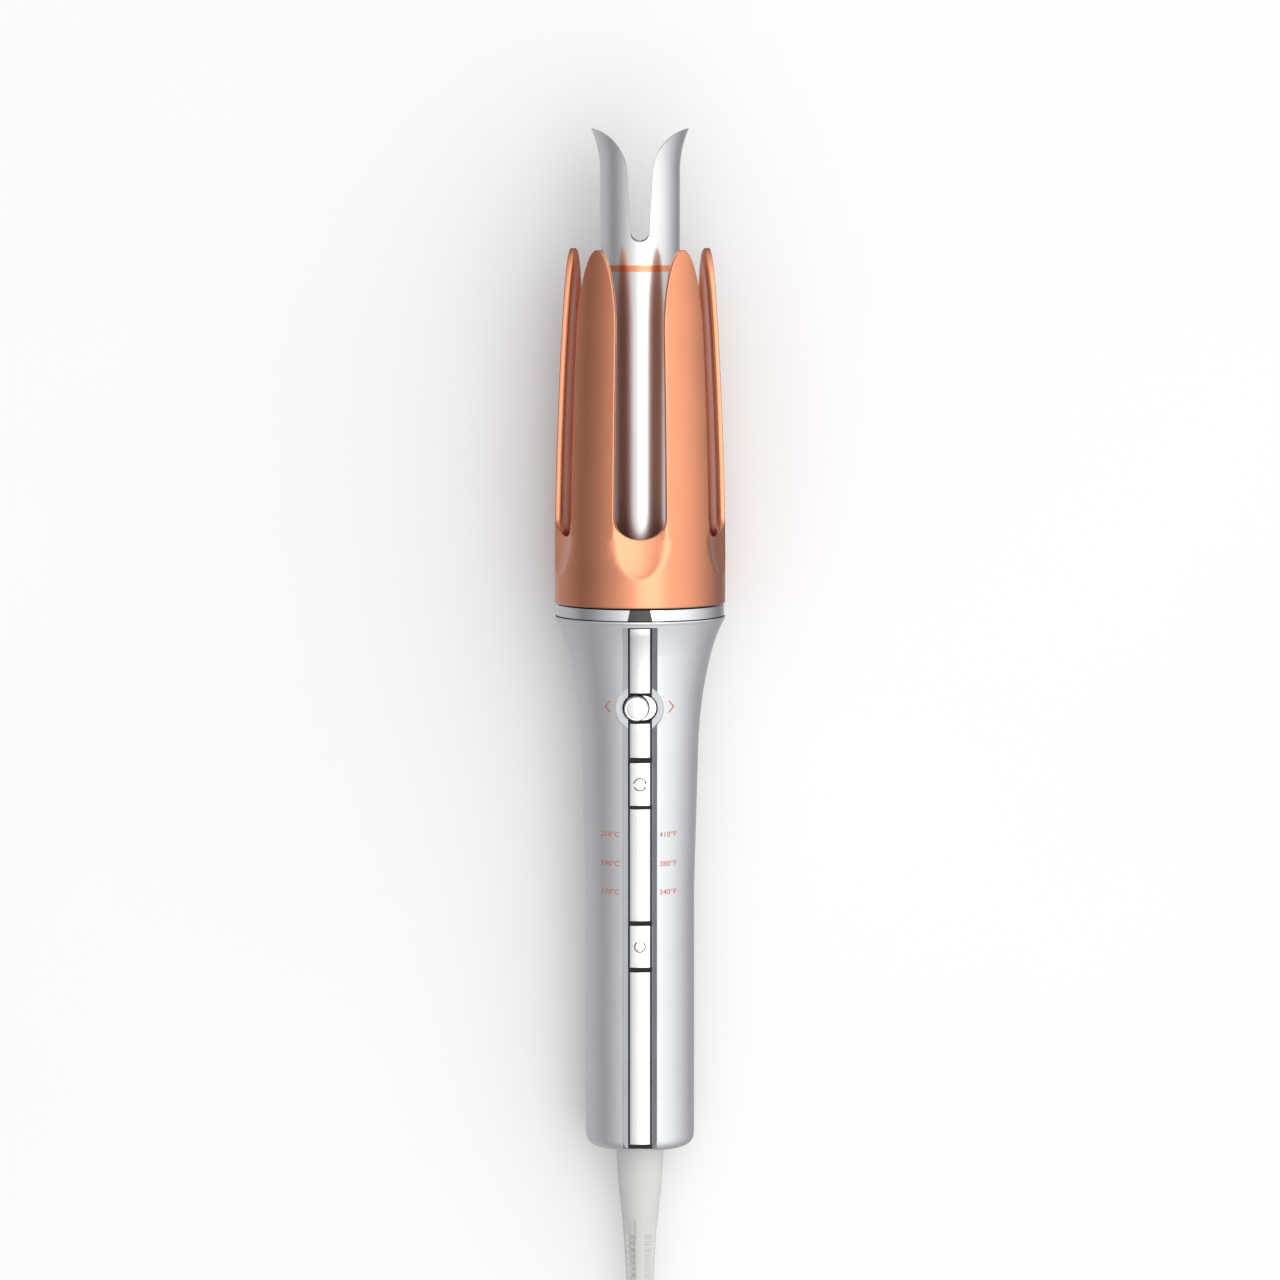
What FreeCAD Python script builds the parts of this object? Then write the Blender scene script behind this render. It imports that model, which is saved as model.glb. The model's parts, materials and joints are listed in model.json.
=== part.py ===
import FreeCAD, Part
import math
import os

import Sketcher
from fcgear import fcgear, involute

# Automatic curling iron, lying on its back with the controls up.
#
# Every piece is modelled in an upright design frame: +Z runs along the barrel's axis from the
# handle's end (Z = 0) to the tip, and the controls face -Y. One common placement then lays the
# iron down: the tip points along +X, the controls face +Z, and the flared collar and the end of
# the handle rest on the ground plane Z = 0. The cord, its hank and the plug are modelled where
# they lie on the ground. All sizes are in millimetres.

SIZES = {
    # handle, from its end to the rim under the bright ring
    "handle_radius": 19.45,
    "handle_end_round": 4.3,
    "handle_length": 190.8,
    "rim_radius": 30.5,
    "rim_land": 0.5,
    "rim_chamfer_height": 0.8,
    "flare_top_radius": 30.0,
    "flare_middle_radius": 25.7,
    "flare_foot_radius": 20.85,
    "flare_middle_drop": 12.3,
    "flare_foot_drop": 46.8,
    "taper_foot_drop": 96.8,
    "flare_upper_arc": 59.0,
    "flare_lower_arc": 155.0,
    "shell_wall": 2.0,
    # bright ring and its dark mark
    "ring_radius": 30.0,
    "ring_bore": 23.0,
    "ring_height": 4.2,
    "mark_top_width": 7.2,
    "mark_bottom_width": 9.0,
    "mark_depth": 1.5,
    # comb shield
    "shield_gap": 0.5,
    "shield_height": 126.2,
    "shield_radius": 30.5,
    "shield_tip_radius": 26.0,
    "shield_shoulder": 16.5,
    "shield_side_arc": 1700.0,
    "shield_wall": 3.1,
    "shield_floor": 3.0,
    "shield_edge_chamfer": 0.6,
    "slot_half_angle": 18.1,
    "slot_bottom": 24.2,
    "slot_bottom_round": 7.5,
    "finger_tip_length": 30.0,
    "scoop_offset": 33.0,
    "scoop_height": 26.5,
    "scoop_half_length": 18.4,
    "scoop_half_width": 15.4,
    "scoop_half_depth": 5.15,
    "post_radius": 2.8,
    "post_circle": 18.7,
    # heated barrel and tip
    "barrel_radius": 14.0,
    "barrel_wall": 1.5,
    "barrel_length": 121.6,
    "barrel_gap": 0.6,
    "band_height": 2.3,
    "band_bore": 10.0,
    "fork_straight": 33.3,
    "fork_length": 48.2,
    "fork_wall": 2.0,
    "fork_tip_radius": 17.35,
    "fork_tip_wall": 1.1,
    "fork_flare_arc": 38.0,
    "notch_height": 8.1,
    "notch_bottom_radius": 3.4,
    "notch_top_half_width": 4.6,
    "notch_side_height": 33.5,
    "notch_horn_arc": 16.9,
    "horn_tip_rise": 0.1,
    # rotating drive
    "hub_flange_height": 1.0,
    "hub_plug_length": 12.0,
    "hub_shaft_radius": 5.0,
    "hub_tail_radius": 4.0,
    "hub_bore": 2.0,
    "hub_tail_length": 31.0,
    "running_gap": 0.05,
    "gear_module": 0.6,
    "barrel_gear_teeth": 20,
    "pinion_teeth": 12,
    "pressure_angle": 20.0,
    "gear_backlash_shift": 0.1,
    "gear_width": 7.0,
    "gear_lift": 0.6,
    "motor_radius": 7.5,
    "motor_length": 24.0,
    "gearbox_length": 20.0,
    "motor_shaft_radius": 1.0,
    "slip_ring_radius": 7.0,
    "slip_ring_width": 3.0,
    "slip_ring_pitch": 4.5,
    "bearing_plate_radius": 25.2,
    "bearing_plate_thickness": 2.8,
    "bush_wall": 2.0,
    "gear_plate_thickness": 3.0,
    "gear_plate_radius": 19.6,
    "gear_plate_front": 9.0,
    "gear_plate_height": "=handle_length - 30.8",
    # control channel, its strips and its buttons
    "channel_half_width": 6.2,
    "channel_floor_half_width": 4.1,
    "channel_top_drop": 2.0,
    "channel_end": 1.2,
    "strip_half_width": 3.8,
    "strip_depth": 1.1,
    "floor_depth": 2.4,
    "floor_thickness": 1.0,
    "bevel_low_depth": 2.2,
    "bevel_high_depth": 0.8,
    "piece_gap": 0.3,
    "lower_strip_start": 2.5,
    "lower_strip_end": 64.7,
    "power_button_start": 66.2,
    "power_button_end": 81.6,
    "window_start": 82.9,
    "window_end": 123.4,
    "rotation_button_start": 124.3,
    "rotation_button_end": 140.0,
    "middle_strip_start": 141.6,
    "middle_strip_end": "=handle_length - 36.8",
    "upper_strip_start": "=handle_length - 26.0",
    "button_flange": 0.8,
    "button_flange_thickness": 0.8,
    "button_travel": 0.5,
    "slider_height": "=handle_length - 31.4",
    "slider_well_half_length": 6.3,
    "slider_well_half_height": 4.9,
    "slider_rest": 1.3,
    "slider_cap_radius": 4.4,
    "slider_cap_stand": 1.5,
    "slider_plate_thickness": 1.2,
    "slider_plate_overlap": 0.9,
    "slider_gap": 0.1,
    "slider_lobe_radius": 8.5,
    # electronics
    "board_depth": 11.2,
    "board_thickness": 1.2,
    "board_half_width": 8.0,
    "board_start": 62.0,
    "board_end": "=handle_length - 22.8",
    "power_board_start": 66.0,
    "power_board_end": 112.0,
    "power_board_half_width": 14.0,
    "power_board_level": 3.0,
    # screws
    "screw_radius": 1.2,
    "screw_head_radius": 2.2,
    "screw_head_height": 1.8,
    "screw_clearance": 0.2,
    "case_boss_radius": 3.2,
    "case_screw_low": 14.0,
    "case_screw_high": 56.0,
    # cord, its relief and its plug
    "relief_length": 60.0,
    "relief_top_radius": 8.4,
    "relief_shoulder_radius": 7.15,
    "relief_waist_radius": 5.9,
    "relief_neck_radius": 5.2,
    "relief_end_radius": 4.3,
    "relief_gap": 0.2,
    "swivel_neck_radius": 6.3,
    "swivel_collar_radius": 8.2,
    "swivel_collar_height": 5.0,
    "cord_radius": 2.75,
    "plug_pin_radius": 2.0,
    "plug_pin_length": 19.0,
    "plug_pin_spacing": 18.6,
    "plug_width": 35.0,
    "plug_height": 13.7,
    "plug_length": 34.0,
}

# The cord runs over the ground from the relief into the hank, and from the hank to the plug.
# Each point is (distance beyond the handle's end, sideways place, height). They stay as chosen.
LEAD_STRAIGHT = 12.0
LEAD_ROUTE = [
    (84.0, 1.5, 14.3),
    (97.0, 6.0, 13.9),
]
LEAD_END = (109.0, 12.5, 10.6)
TAIL_ROUTE = [
    (215.0, 27.5, 2.75),
    (231.0, 25.5, 3.1),
    (246.0, 19.0, 4.6),
    (257.0, 14.2, 6.0),
]
TAIL_END = (268.0, 12.85, 6.85)
HANK_NEAR_LOOP = 115.0
HANK_FAR_LOOP = 207.0
HANK_OUTER_RADIUS = 30.25
HANK_WAIST = 16.5
HANK_HEIGHT = 11.0
TIE_HALF_WIDTH = 8.0
TIE_THICKNESS = 1.2

doc = FreeCAD.newDocument("CurlingIron")
sizes = doc.addObject("Spreadsheet::Sheet", "Sizes")
subparts = []
cord_parts = []
Vector = FreeCAD.Vector


def fill_sheet():
    """Write every driving size to the sheet, one row each; a text value is a formula on earlier rows."""
    for row, (name, value) in enumerate(SIZES.items(), start=1):
        sizes.set(f"A{row}", name)
        sizes.set(f"B{row}", str(value))
        sizes.setAlias(f"B{row}", name)
    doc.recompute()


def bound(text):
    """Turn an expression in bare size names into one that names the sheet."""
    out = ""
    word = ""
    for char in text + " ":
        if char.isalnum() or char == "_":
            word += char
            continue
        out += f"Sizes.{word}" if word in SIZES else word
        out += char
        word = ""
    return out.strip()


def value(expression):
    """Work out an expression in bare size names."""
    return float(sizes.evalExpression(bound(str(expression))))


def set_size(thing, path, expression):
    """Bind one property of an object to the sheet."""
    thing.setExpression(path, bound(str(expression)))


def plane_of(body, role):
    """Find one of a body's own origin planes or axes."""
    return [part for part in body.Origin.OriginFeatures if part.Role == role][0]


def arc_between(start, end, radius):
    """Circular arc between two points: it bends left for a positive radius, right for a negative."""
    middle = (start + end) * 0.5
    along = end - start
    left = Vector(-along.y, along.x, 0).normalize()
    reach = math.sqrt(radius**2 - (along.Length / 2) ** 2)
    centre = middle + left * math.copysign(reach, radius)
    first, last = (start, end) if radius > 0 else (end, start)
    angles = [math.atan2(p.y - centre.y, p.x - centre.x) for p in (first, last)]
    circle = Part.Circle(centre, Vector(0, 0, 1), abs(radius))
    return Part.ArcOfCircle(circle, angles[0], angles[1])


def outline(body, name, role, corners):
    """Closed sketch on an origin plane. A corner is (across, along) or (across, along, radius of the
    arc that leads to the next corner), each an expression in the sheet's names."""
    sketch = body.newObject("Sketcher::SketchObject", name)
    sketch.AttachmentSupport = [(plane_of(body, role), "")]
    sketch.MapMode = "FlatFace"
    points = [Vector(value(corner[0]), value(corner[1]), 0) for corner in corners]
    edges = []
    for index, corner in enumerate(corners):
        start = points[index]
        end = points[(index + 1) % len(points)]
        if len(corner) == 3:
            radius = value(corner[2])
            edges.append((sketch.addGeometry(arc_between(start, end, radius)), radius < 0))
        else:
            edges.append((sketch.addGeometry(Part.LineSegment(start, end)), False))
    for index, corner in enumerate(corners):
        edge, backward = edges[index]
        following, following_backward = edges[(index + 1) % len(edges)]
        tail = 2 if backward else 1
        tip = 1 if backward else 2
        next_tail = 2 if following_backward else 1
        sketch.addConstraint(Sketcher.Constraint("Coincident", edge, tip, following, next_tail))
        for kind, text, number in (
            ("DistanceX", corner[0], points[index].x),
            ("DistanceY", corner[1], points[index].y),
        ):
            constraint = sketch.addConstraint(Sketcher.Constraint(kind, edge, tail, number))
            set_size(sketch, f"Constraints[{constraint}]", text)
        if len(corner) == 3:
            radius = value(corner[2])
            constraint = sketch.addConstraint(Sketcher.Constraint("Radius", edge, abs(radius)))
            set_size(sketch, f"Constraints[{constraint}]", f"abs({corner[2]})")
    return sketch


def revolved(name, corners, angle=360.0, front=False):
    """Body turned about the Z axis from an outline of (radius, height) corners."""
    body = doc.addObject("PartDesign::Body", name)
    sketch = outline(body, f"{name}_outline", "XZ_Plane", corners)
    turn = body.newObject("PartDesign::Revolution", f"{name}_turn")
    turn.Profile = sketch
    turn.ReferenceAxis = (plane_of(body, "Z_Axis"), [""])
    turn.Angle = angle
    turn.Reversed = front
    return body


def side_block(name, corners, half_width):
    """Body padded both ways along X from an outline of (Y, Z) corners."""
    body = doc.addObject("PartDesign::Body", name)
    sketch = outline(body, f"{name}_outline", "YZ_Plane", corners)
    pad = body.newObject("PartDesign::Pad", f"{name}_pad")
    pad.Profile = sketch
    pad.Midplane = True
    set_size(pad, "Length", f"2 * ({half_width})")
    return body


def box(name, low, high):
    """Box between two corners, each given as three expressions."""
    solid = doc.addObject("Part::Box", name)
    for side, start, end in zip(("Length", "Width", "Height"), low, high):
        set_size(solid, side, f"({end}) - ({start})")
    for axis, start in zip("xyz", low):
        set_size(solid, f"Placement.Base.{axis}", start)
    return solid


def cylinder(name, radius, bottom, top, across=0, behind=0):
    """Upright cylinder between two heights."""
    solid = doc.addObject("Part::Cylinder", name)
    set_size(solid, "Radius", radius)
    set_size(solid, "Height", f"({top}) - ({bottom})")
    set_size(solid, "Placement.Base.x", across)
    set_size(solid, "Placement.Base.y", behind)
    set_size(solid, "Placement.Base.z", bottom)
    return solid


def cross_cylinder(name, radius, front, back, height, across=0):
    """Cylinder lying along Y between two places, at one height."""
    solid = doc.addObject("Part::Cylinder", name)
    solid.Placement.Rotation = FreeCAD.Rotation(Vector(1, 0, 0), -90)
    set_size(solid, "Radius", radius)
    set_size(solid, "Height", f"({back}) - ({front})")
    set_size(solid, "Placement.Base.x", across)
    set_size(solid, "Placement.Base.y", front)
    set_size(solid, "Placement.Base.z", height)
    return solid


def cut(name, base, tools):
    """Take one or more solids away from another."""
    result = doc.addObject("Part::Cut", name)
    result.Base = base
    result.Tool = tools[0] if len(tools) == 1 else joined(f"{name}_tools", tools)
    return result


def joined(name, shapes):
    """Fuse solids into one, or group them where they don't touch."""
    result = doc.addObject("Part::MultiFuse", name)
    result.Shapes = shapes
    return result


def common(name, first, second):
    """Keep what two solids share."""
    result = doc.addObject("Part::MultiCommon", name)
    result.Shapes = [first, second]
    return result


def shaped(name, shape):
    """Hold a shape made with Part's functions."""
    feature = doc.addObject("Part::Feature", name)
    feature.Shape = shape
    return feature


def subpart(thing, name):
    """Name a finished piece after its file. A bare primitive is wrapped, as its own place is bound."""
    if thing.TypeId in ("Part::Box", "Part::Cylinder"):
        holder = doc.addObject("Part::Compound", f"{name}_piece")
        holder.Links = [thing]
        thing = holder
    thing.Label = name
    subparts.append(thing)
    return thing


def cord_part(thing, name):
    """Name a piece of the cord, which already stands where it lies."""
    subpart(thing, name)
    cord_parts.append(thing)
    return thing


# Heights that several pieces share.
FLARE_TOP = "handle_length - rim_land - rim_chamfer_height"
FLARE_MIDDLE = "handle_length - flare_middle_drop"
FLARE_FOOT = "handle_length - flare_foot_drop"
TAPER_FOOT = "handle_length - taper_foot_drop"
RING_TOP = "handle_length + ring_height"
SHIELD_BASE = f"{RING_TOP} + shield_gap"
SHIELD_TIP = f"{SHIELD_BASE} + shield_height"
PLATE_BOTTOM = "handle_length - bearing_plate_thickness"
HUB_FLANGE = "handle_length + 0.4"
BARREL_BASE = f"{HUB_FLANGE} + hub_flange_height"
BARREL_TOP = f"{BARREL_BASE} + barrel_length"
BAND_TOP = f"{BARREL_TOP} + band_height"
GEAR_BASE = "gear_plate_height + gear_plate_thickness + gear_lift + 0.6"
GEAR_DISTANCE = "gear_module * (barrel_gear_teeth + pinion_teeth) / 2 + gear_backlash_shift"
SKIN = "floor_depth + floor_thickness"


def handle_side(inset):
    """Corners of the handle's side from its foot to its rim, moved inwards by an inset."""
    return [
        (f"handle_radius - ({inset})", TAPER_FOOT),
        (f"flare_foot_radius - ({inset})", FLARE_FOOT, "-flare_lower_arc"),
        (f"flare_middle_radius - ({inset})", FLARE_MIDDLE, "-flare_upper_arc"),
        (f"flare_top_radius - ({inset})", FLARE_TOP),
    ]


def handle_outside():
    """Corners of the whole outer form of the handle."""
    return (
        [
            (0, 0),
            ("handle_radius - handle_end_round", 0, "handle_end_round"),
            ("handle_radius", "handle_end_round"),
        ]
        + handle_side(0)
        + [
            ("rim_radius", "handle_length - rim_land"),
            ("rim_radius", "handle_length"),
            (0, "handle_length"),
        ]
    )


def handle_inside():
    """Corners of the hollow of the handle, open at the rim."""
    return (
        [
            (0, "shell_wall"),
            ("handle_radius - handle_end_round", "shell_wall"),
            ("handle_radius - shell_wall", "handle_end_round"),
        ]
        + handle_side("shell_wall")
        + [
            ("flare_top_radius - shell_wall", "handle_length + 1"),
            (0, "handle_length + 1"),
        ]
    )


def outer_block(name, inset, half_width, skip_foot=False):
    """Block as wide as told, as deep as the handle's front profile moved inwards."""
    corners = [(0, 0), (f"-(handle_radius - ({inset}))", 0)]
    for corner in handle_side(inset):
        mirrored = [f"-({corner[0]})", corner[1]]
        if len(corner) == 3:
            mirrored.append(corner[2][1:])
        corners.append(tuple(mirrored))
    corners.append((0, FLARE_TOP))
    return side_block(name, corners, half_width)


def layer(name, outer_inset, inner_inset, half_width):
    """Curved bar that follows the handle's front between two insets."""
    outer = outer_block(f"{name}_outer", outer_inset, half_width)
    inner = outer_block(f"{name}_inner", inner_inset, f"({half_width}) + 1")
    return cut(name, outer, [inner])


def bevel_wedge():
    """The two bevelled walls beside the channel's floor, ruled between its foot and its lip."""
    walls = []
    for side in (-1, 1):
        wires = []
        for across, inset in (
            (value("channel_floor_half_width"), value("bevel_low_depth")),
            (value("channel_half_width"), value("bevel_high_depth")),
        ):
            wires.append(front_profile_wire(side * across, inset))
        walls.append(Part.makeLoft(wires, True, True))
    return Part.makeCompound(walls)


def front_profile_wire(across, inset):
    """Closed wire in a plane beside the axis: the handle's front profile moved inwards, closed on Y = 0."""
    corners = [Vector(0, 0, 0), Vector(value("handle_radius") - inset, 0, 0)]
    radii = [None, None]
    for corner in handle_side(inset):
        corners.append(Vector(value(corner[0]), value(corner[1]), 0))
        radii.append(value(corner[2]) if len(corner) == 3 else None)
    corners.append(Vector(0, value(FLARE_TOP), 0))
    radii.append(None)
    edges = []
    for index, start in enumerate(corners):
        end = corners[(index + 1) % len(corners)]
        radius = radii[index]
        if radius is None:
            edges.append(Part.LineSegment(start, end).toShape())
        else:
            edges.append(arc_between(start, end, radius).toShape())
    wire = Part.Wire(edges)
    # local x becomes -Y and local y becomes Z
    turn = FreeCAD.Matrix(0, 0, 1, across, -1, 0, 0, 0, 0, 1, 0, 0, 0, 0, 0, 1)
    return wire.transformGeometry(turn)


def handle_pieces():
    """The two half shells, the control channel and the screws that clamp them."""
    outside = revolved("handle_form", handle_outside())
    inside = revolved("handle_hollow", handle_inside())
    wall = cut("handle_wall", outside, [inside])
    end_hole = cylinder("end_hole", "swivel_neck_radius + 2 * running_gap", -1, "shell_wall + 1")
    window = box(
        "channel_window",
        ("-channel_half_width", -40, "channel_end"),
        ("channel_half_width", -8, "handle_length - channel_top_drop"),
    )
    lobe_hole = cross_cylinder("lobe_hole", "slider_lobe_radius", -40, -8, "slider_height")
    plate_room = common(
        "slider_plate_room",
        outer_block("slider_room_block", f"{SKIN}", "channel_half_width + 4"),
        box(
            "slider_room_box",
            ("-channel_half_width - 3.2", -40, "slider_height - 6.2"),
            ("channel_half_width + 3.2", -8, "slider_height + 6.2"),
        ),
    )
    front_half = box("front_half", (-40, -40, -1), (40, 0, "handle_length + 1"))
    rear_half = box("rear_half", (-40, 0, -1), (40, 40, "handle_length + 1"))
    front_wall = common("front_wall", wall, front_half)
    front = cut("front_shell", front_wall, [end_hole, window, lobe_hole, plate_room])
    subpart(front, "front_handle_shell")

    bosses = []
    holes = []
    for index, height in enumerate(("case_screw_low", "case_screw_high")):
        boss = cross_cylinder(
            f"rear_boss_{index}", "case_boss_radius", -4, "handle_radius - shell_wall / 2", height
        )
        bosses.append(boss)
        holes.append(cross_cylinder(f"rear_boss_hole_{index}", "screw_radius + 0.05", -5, 8, height))
    rear_wall = common("rear_wall", wall, rear_half)
    rear_joined = joined("rear_joined", [rear_wall] + bosses)
    end_hole = cylinder("end_hole_rear", "swivel_neck_radius + 2 * running_gap", -1, "shell_wall + 1")
    rear = cut("rear_shell", rear_joined, [end_hole] + holes)
    subpart(rear, "rear_handle_shell")
    channel(outside)


def channel(handle_form):
    """The inlaid control channel: floor, bevelled walls, side lobes, button openings, screw bosses."""
    floor = outer_block("channel_floor", "floor_depth", "channel_floor_half_width")
    walls = shaped("channel_walls", bevel_wedge())
    lobe = common(
        "channel_lobe",
        outer_block("lobe_block", "floor_depth", "slider_lobe_radius"),
        cross_cylinder("lobe_disc", "slider_lobe_radius", -40, -8, "slider_height"),
    )
    walls_open = cut(
        "channel_walls_open",
        walls,
        [cross_cylinder("lobe_opening", "slider_lobe_radius", -40, -8, "slider_height")],
    )
    form = joined("channel_form", [floor, walls_open, lobe])
    within = common("channel_within", form, handle_form)
    span = common(
        "channel_span",
        within,
        box(
            "channel_span_box",
            (-10, -40, "channel_end"),
            (10, 0, "handle_length - channel_top_drop"),
        ),
    )
    hollow = cut("channel_hollow", span, [outer_block("channel_inner", SKIN, "channel_half_width + 4")])
    bosses = []
    openings = []
    for index, height in enumerate(("case_screw_low", "case_screw_high")):
        front = "-(handle_radius - floor_depth)"
        bosses.append(cross_cylinder(f"channel_boss_{index}", "case_boss_radius", front, -4, height))
        openings.append(
            cross_cylinder(f"screw_seat_{index}", "screw_head_radius + 0.1", -40,
                           f"{front} + screw_head_height", height)
        )
        openings.append(cross_cylinder(f"screw_way_{index}", "screw_radius + 0.05", -40, 0, height))
    for name in ("power_button", "rotation_button"):
        openings.append(
            box(
                f"{name}_opening",
                ("-strip_half_width - 0.05", -40, f"{name}_start - 0.1"),
                ("strip_half_width + 0.05", -8, f"{name}_end + 0.1"),
            )
        )
    well = slider_well("slider_well", -40, -8, "slider_well_half_length", "slider_well_half_height")
    openings.append(well)
    for index, height in enumerate(led_heights()):
        openings.append(cross_cylinder(f"led_hole_{index}", 1.5, -40, -8, height))
    joined_form = joined("channel_joined", [hollow] + bosses)
    subpart(cut("channel_cut", joined_form, openings), "control_channel")


def led_heights():
    """Heights of the three temperature lamps, evenly spread under their window."""
    return [f"window_start + (window_end - window_start) * {share}" for share in (0.26, 0.51, 0.77)]


def slider_well(name, front, back, half_length, half_height):
    """Slot with round ends, its long side across the handle."""
    reach = f"({half_length}) - ({half_height})"
    middle = box(
        f"{name}_middle",
        (f"-({reach})", front, f"slider_height - ({half_height})"),
        (reach, back, f"slider_height + ({half_height})"),
    )
    ends = [
        cross_cylinder(f"{name}_end_{index}", half_height, front, back, "slider_height", f"{sign}({reach})")
        for index, sign in enumerate(("-", ""))
    ]
    return joined(name, [middle] + ends)


def strip_pieces():
    """The bright cover strips that lie in the channel."""
    bar = layer("strip_bar", "strip_depth", "floor_depth", "strip_half_width")
    spans = {
        "lower_strip": ("lower_strip_start", "lower_strip_end"),
        "temperature_window": ("window_start", "window_end"),
        "middle_strip": ("middle_strip_start", "middle_strip_end"),
        "upper_strip": ("upper_strip_start", "handle_length - channel_top_drop - piece_gap"),
    }
    for name, (start, end) in spans.items():
        span = box(f"{name}_span", (-10, -40, start), (10, 0, end))
        piece = common(f"{name}_solid", bar, span)
        subpart(piece, name)


def button(name):
    """Push button: its cap stands in the channel, its flange and stem lie under the floor."""
    cap = layer(f"{name}_cap", "strip_depth", SKIN, "strip_half_width - 0.1")
    cap_span = box(f"{name}_cap_span", (-10, -40, f"{name}_start"), (10, 0, f"{name}_end"))
    flange = layer(
        f"{name}_flange",
        f"{SKIN} + 0.05",
        f"{SKIN} + 0.05 + button_flange_thickness",
        "strip_half_width + button_flange",
    )
    flange_span = box(
        f"{name}_flange_span",
        (-10, -40, f"{name}_start - button_flange"),
        (10, 0, f"{name}_end + button_flange"),
    )
    core = layer(f"{name}_core", "floor_depth", f"{SKIN} + 0.4", "strip_half_width - 0.1")
    middle = f"({name}_start + {name}_end) / 2"
    stem = box(
        f"{name}_stem",
        (-1.5, f"-(handle_radius - {SKIN} - 0.4)", f"{middle} - 1.5"),
        (1.5, "-(board_depth + board_thickness + 2.0 + button_travel)", f"{middle} + 1.5"),
    )
    core_span = box(f"{name}_core_span", (-10, -40, f"{name}_start"), (10, 0, f"{name}_end"))
    pieces = [
        common(f"{name}_cap_cut", cap, cap_span),
        common(f"{name}_core_cut", core, core_span),
        common(f"{name}_flange_cut", flange, flange_span),
        stem,
    ]
    subpart(joined(f"{name}_solid", pieces), name)


def slider():
    """Direction slider: a round cap on a plate that slides under the channel's floor."""
    plate_layer = layer(
        "slider_layer",
        f"{SKIN} + slider_gap",
        f"{SKIN} + slider_gap + slider_plate_thickness",
        "slider_well_half_length + slider_plate_overlap + 2 * slider_rest + 2",
    )
    reach = "slider_well_half_length + 0.3"
    plate_reach = "slider_well_half_height + slider_plate_overlap"
    plate_box = box(
        "slider_plate_box",
        (f"-({reach}) - 2 * slider_rest", -40, f"slider_height - ({plate_reach})"),
        (reach, 0, f"slider_height + {plate_reach}"),
    )
    plate = common("slider_plate_cut", plate_layer, plate_box)
    stem = box(
        "slider_stem",
        ("-slider_rest - 1", f"-(flare_foot_radius - ({SKIN}) + 0.4)", "slider_height - 1"),
        ("-slider_rest + 1", "-(board_depth + board_thickness + 1.6)", "slider_height + 1"),
    )
    subpart(joined("slider_plate_solid", [plate, stem]), "slider_plate")
    cap = cross_cylinder(
        "slider_cap_disc",
        "slider_cap_radius",
        "-(flare_foot_radius + slider_cap_stand + 1)",
        -17,
        "slider_height",
        "-slider_rest",
    )
    under = outer_block("slider_cap_under", f"{SKIN} + slider_gap", "slider_well_half_length + 2")
    subpart(cut("slider_cap_solid", cap, [under]), "slider_cap")


def ring_pieces():
    """Bright ring with its dark mark, let into the front."""
    ring = revolved(
        "ring_form",
        [
            ("ring_bore", "handle_length"),
            ("ring_radius", "handle_length"),
            ("ring_radius", RING_TOP),
            ("ring_bore", RING_TOP),
        ],
    )
    mark_body = doc.addObject("PartDesign::Body", "mark_form")
    sketch = outline(
        mark_body,
        "mark_outline",
        "XZ_Plane",
        [
            ("-mark_bottom_width / 2", "handle_length"),
            ("mark_bottom_width / 2", "handle_length"),
            ("mark_top_width / 2", RING_TOP),
            ("-mark_top_width / 2", RING_TOP),
        ],
    )
    pad = mark_body.newObject("PartDesign::Pad", "mark_pad")
    pad.Profile = sketch
    set_size(pad, "Length", "ring_radius + 5")
    core = cylinder("mark_core", "ring_radius - mark_depth", "handle_length - 1", f"{RING_TOP} + 1")
    keystone = cut("keystone", mark_body, [core])
    subpart(cut("ring_solid", ring, [keystone]), "chrome_ring")
    subpart(common("mark_solid", keystone, ring), "alignment_mark")


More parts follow.
